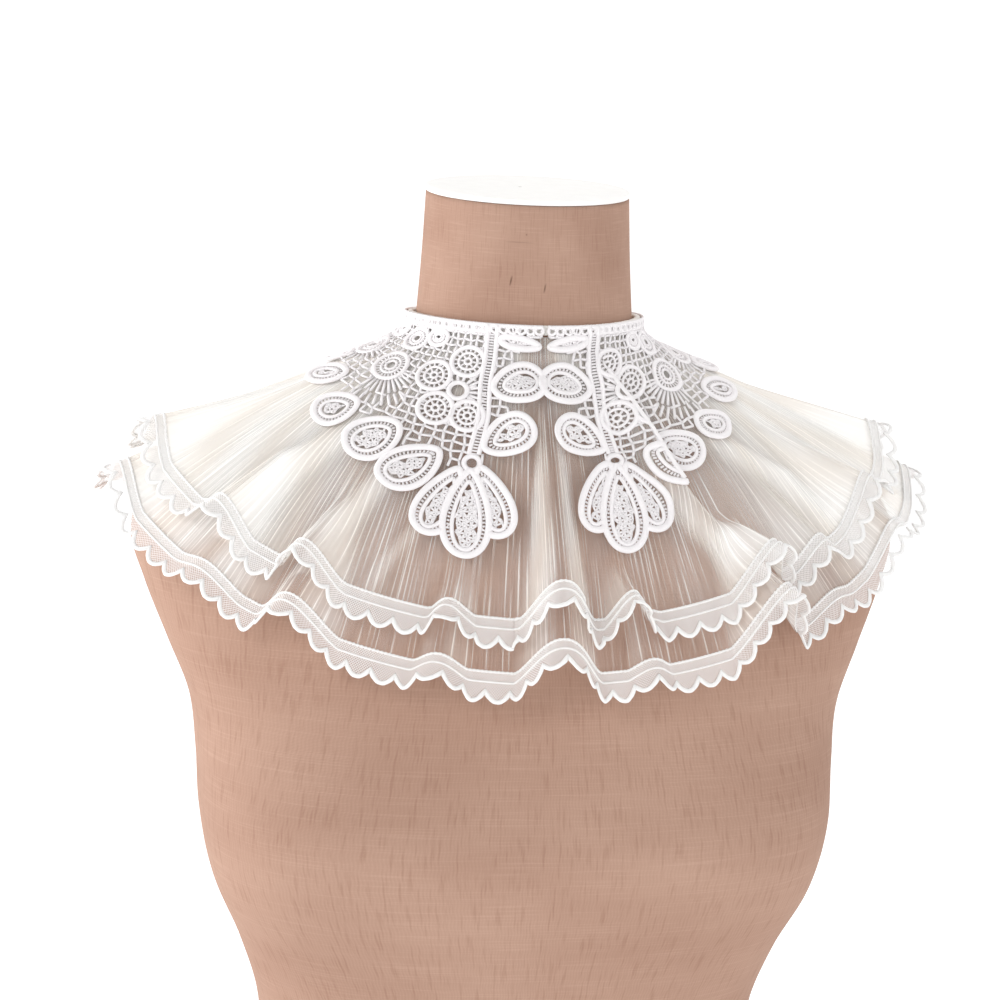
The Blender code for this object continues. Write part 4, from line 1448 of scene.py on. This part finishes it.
def lace_half(name, side, node):
    """All the lines of one half set on the lace layer, mirrored where side is -1."""
    lace = look().lace
    flip = np.array([side, 1.0])

    def tubes(lines, width, height, sides=6, closed=False, raised=0.0, hidden=False):
        parts = []
        groups = [lines] if isinstance(lines, np.ndarray) else [row[None] for row in lines]
        for line in groups:
            if line.shape[1] == 2:
                line = line[~in_fold(line.mean(axis=1), side)]
            thin = np.where(in_fold(line, side) | hidden, HIDDEN_SHARE, 1.0)
            line = (taken_up(line) if side > 0 else line) * flip
            centre, normal = on_sheet_with_normal(
                lace_sheet, line[..., 0], line[..., 1], np.full(line.shape[:-1], raised)
            )
            parts.append(tube_part(centre, normal, width * thin, height * thin, sides, closed))
        return parts

    borders, cords, hidden, wide, eyes, threads, bursts = lace_lines()
    stems, stem_bars = stem_lines()
    neck, back, neck_bars = neck_lines()
    threads = np.concatenate(threads + [stem_bars, neck_bars])
    edge_angles = np.arange(3.0, LACE_END_DEG, EDGE_STEP_DEG)
    edge = [circle(Corner(at, EDGE_REACH), EDGE_RADIUS, 20) for at in edge_angles]
    ring = {"closed": True, "raised": 0.0002}
    parts = tubes(np.stack(borders), lace.border, 0.0019, 8, hidden=hidden["borders"], **ring)
    parts += tubes(np.stack(cords), lace.cord, 0.0013, hidden=hidden["cords"], **ring)
    parts += tubes(np.stack(wide), lace.cord * 1.25, 0.0015, **ring)
    parts += tubes(np.stack(eyes), lace.cord * 0.7, 0.0011, **ring)
    parts += tubes(threads, lace.thread, 0.0008, 4)
    parts += tubes(ground_bars(side), lace.ground, 0.0010, 4)
    parts += tubes(np.stack(edge), lace.ground, 0.0012, **ring)
    parts += tubes(bursts, lace.ground * 1.15, 0.0011, 4)
    parts += tubes(stems, lace.cord * 1.1, 0.0015, raised=0.0002)
    parts += tubes(neck, lace.cord, 0.0014)
    parts += tubes(back, lace.cord, 0.0012)
    if side > 0:
        # the rolled edge of the fold
        reach = np.linspace(*FOLD_EDGE_REACHES, 60)
        crest = np.radians(np.interp(reach, FOLD_REACHES, FOLD_ANGLES))
        centre, normal = on_sheet_with_normal(lace_sheet, crest, reach * MM, np.full(60, 0.0002))
        parts.append(tube_part(centre[None], normal[None], lace.cord * 1.3, 0.0016))
    return add_piece(name, parts, bpy.data.materials["lace_thread"], [node])


class FALSECOLLAR_OT_lace(bpy.types.Operator):
    """Builds the two corded lace halves"""

    bl_idname = "false_collar.lace"
    bl_label = "Corded lace"

    def execute(self, context):
        thread_material("lace_thread", look().lace.colour)
        for node, side in (("lace_left", -1), ("lace_right", 1)):
            half = lace_half(node + "_half", side, node)
        return {"FINISHED"}


class FALSECOLLAR_OT_fastening(bpy.types.Operator):
    """Builds the shell button and the thread loop at the centre back"""

    bl_idname = "false_collar.fastening"
    bl_label = "Button and loop"
    button_deg, shank, thick = 175.5, 0.0022, 0.0018
    root_deg, loop_radius = -173.5, 0.0019

    def execute(self, context):
        self.button()
        self.loop()
        return {"FINISHED"}

    def button(self):
        """A profile turned about the button's axis: a raised rim and a dished face."""
        radius = look().fastening.button_radius
        face = self.shank + self.thick
        profile = np.array(
            [
                (0.0, face - 0.0005),
                (0.35, face - 0.0005),
                (0.62, face - 0.0003),
                (0.78, face),
                (0.92, face - 0.0001),
                (1.0, face - 0.0006),
                (1.0, self.shank + 0.0005),
                (0.85, self.shank),
                (0.30, self.shank),
                (0.28, self.shank - 0.0006),
                (0.28, 0.0003),
                (0.0, 0.0003),
            ]
        )
        fine = np.linspace(0, len(profile) - 1, 45)
        r = np.interp(fine, np.arange(len(profile)), profile[:, 0]) * radius
        out = np.interp(fine, np.arange(len(profile)), profile[:, 1])
        turn = np.linspace(0, 2 * math.pi, 49)
        angle = math.radians(self.button_deg)
        base = BAND_INNER_RADIUS + BAND_THICKNESS
        outward = np.array([math.sin(angle), -math.cos(angle), 0.0])
        aside = np.array([math.cos(angle), math.sin(angle), 0.0])
        centre = on_plan(angle, base, float(neckline(angle)) - BAND_HEIGHT / 2)
        swing = np.cos(turn)[:-1, None] * aside + np.sin(turn)[:-1, None] * np.array([0, 0, 1.0])
        points = centre + out[:, None, None] * outward + r[:, None, None] * swing
        uv = pairs_of(r[:, None], turn[None, :])
        part = grid_part(points, uv, wrap=True)
        shell = pearl_material()
        merge_doubles(add_piece("shell_button", [part], shell, ["button"]))

    def loop(self):
        """A thread along the band, round the shank in a half circle and back."""
        thread = look().fastening.loop_thread
        radius = BAND_INNER_RADIUS + BAND_THICKNESS + SEAM_GAP + thread / 2
        button = math.radians(self.button_deg)
        straight = np.linspace(math.radians(self.root_deg) + 2 * math.pi, button, 24)
        bend = np.radians(np.linspace(90, -90, 25))[1:-1]
        around = button - np.cos(bend) * self.loop_radius / radius
        angle = np.concatenate([straight, around, straight[::-1]])
        flat = np.full(len(straight), self.loop_radius)
        rise = np.concatenate([flat, self.loop_radius * np.sin(bend), -flat])
        centre = on_plan(angle, radius, neckline(angle) - BAND_HEIGHT / 2 + rise)
        normal = on_plan(angle, 1.0, 0.0)
        part = tube_part(centre[None], normal[None], thread, thread, 10)
        cotton = bpy.data.materials["lace_thread"]
        add_piece("thread_loop", [part], cotton, ["button_loop"])


class FALSECOLLAR_OT_stage(bpy.types.Operator):
    """Sets the floor, the soft studio light and the camera"""

    bl_idname = "false_collar.stage"
    bl_label = "Stage"

    def execute(self, context):
        stage = look().stage
        floor = bpy.data.objects.new("floor", self.sweep_mesh())
        context.scene.collection.objects.link(floor)
        world = bpy.data.worlds.new("studio")
        world.use_nodes = True
        background = world.node_tree.nodes["Background"]
        background.inputs["Color"].default_value = (1, 1, 1, 1)
        background.inputs["Strength"].default_value = stage.sky
        context.scene.world = world
        for name, place, size, share in (
            ("key", (-1.5, -1.5, 1.7), 1.0, 1.0),
            ("fill", (1.8, -1.2, 1.0), 1.4, 0.34),
            ("edge", (-1.7, 0.5, 0.7), 1.0, 1.2),
            ("top", (0.6, 0.8, 2.1), 1.2, 1.0),
        ):
            self.area_light(name, place, size, stage.key * share)
        self.camera(stage)
        context.scene.view_settings.view_transform = "Standard"
        return {"FINISHED"}

    def sweep_mesh(self):
        """A floor that turns up into a wall all round: a profile turned about the object."""
        bend = np.radians(np.linspace(0, 90, 13))
        radius = np.concatenate([[0.0, 6.0], 14 + 3 * np.sin(bend), [17.0]])
        height = np.concatenate([[0.0, 0.0], 3 - 3 * np.cos(bend), [9.0]]) - 0.0005
        angle = np.linspace(0, 2 * math.pi, 65)[None, ::-1]
        points = on_plan(angle[:, :-1], radius[:, None], height[:, None])
        part = grid_part(points, np.zeros((len(radius), 65, 2)), wrap=True)
        mesh = bpy.data.meshes.new("floor")
        mesh.from_pydata(part.points.tolist(), [], part.faces.tolist())
        mesh.shade_smooth()
        mesh.materials.append(floor_material())
        return mesh

    def area_light(self, name, place, size, power):
        light = bpy.data.lights.new(name, "AREA")
        light.shape, light.size, light.energy = "DISK", size, power
        lamp = bpy.data.objects.new(name, light)
        bpy.context.scene.collection.objects.link(lamp)
        aim = Vector(LIGHT_AIM) - Vector(place)
        lamp.location = place
        lamp.rotation_euler = aim.to_track_quat("-Z", "Y").to_euler()

    def camera(self, stage):
        """The lens looks along one line, which passes left of the cap's centre and below it."""
        a, e = stage.view_azimuth, stage.view_elevation
        back = np.array([math.sin(a) * math.cos(e), -math.cos(a) * math.cos(e), math.sin(e)])
        right = np.array([math.cos(a), math.sin(a), 0.0])
        up = np.cross(back, right)
        turn = stage.view_roll
        right, up = (
            right * math.cos(turn) + up * math.sin(turn),
            up * math.cos(turn) - right * math.sin(turn),
        )
        cap_centre = np.array([0, 0, FORM_TOP + SEAM_GAP + CAP_HEIGHT])
        place = cap_centre + stage.distance * back - CAMERA_LEFT * right - CAMERA_DOWN * up
        data = bpy.data.cameras.new("camera")
        data.lens, data.sensor_width = stage.lens, 36.0
        camera = bpy.data.objects.new("camera", data)
        bpy.context.scene.collection.objects.link(camera)
        camera.matrix_world = Matrix(
            [(*row, spot) for row, spot in zip(np.stack([right, up, back], axis=1), place)]
            + [(0, 0, 0, 1)]
        )
        bpy.context.scene.camera = camera


OPERATORS = (
    FALSECOLLAR_OT_form,
    FALSECOLLAR_OT_neckband,
    FALSECOLLAR_OT_tiers,
    FALSECOLLAR_OT_trims,
    FALSECOLLAR_OT_lace,
    FALSECOLLAR_OT_fastening,
    FALSECOLLAR_OT_stage,
)
LOOKS = (FormLook, ChiffonLook, TrimLook, LaceLook, FasteningLook, StageLook)


class FALSECOLLAR_PT_panel(bpy.types.Panel):
    """Lists the settings and the pieces"""

    bl_idname = "FALSECOLLAR_PT_panel"
    bl_label = "False Collar"
    bl_space_type = "VIEW_3D"
    bl_region_type = "UI"
    bl_category = "False Collar"

    def draw(self, context):
        for group in CollarLook.__annotations__:
            box = self.layout.box()
            box.label(text=group.title())
            values = getattr(look(), group)
            for name in values.__class__.__annotations__:
                box.prop(values, name)
        for operator in OPERATORS:
            self.layout.operator(operator.bl_idname)


CLASSES = LOOKS + (CollarLook,) + OPERATORS + (FALSECOLLAR_PT_panel,)


def register():
    for kind in CLASSES:
        bpy.utils.register_class(kind)
    bpy.types.Scene.false_collar = PointerProperty(type=CollarLook)


def unregister():
    del bpy.types.Scene.false_collar
    for kind in reversed(CLASSES):
        bpy.utils.unregister_class(kind)


def main():
    register()
    for operator in OPERATORS:
        group, name = operator.bl_idname.split(".")
        if getattr(getattr(bpy.ops, group), name)() != {"FINISHED"}:
            raise RuntimeError(operator.bl_label + " didn't finish")


if __name__ == "__main__":
    main()
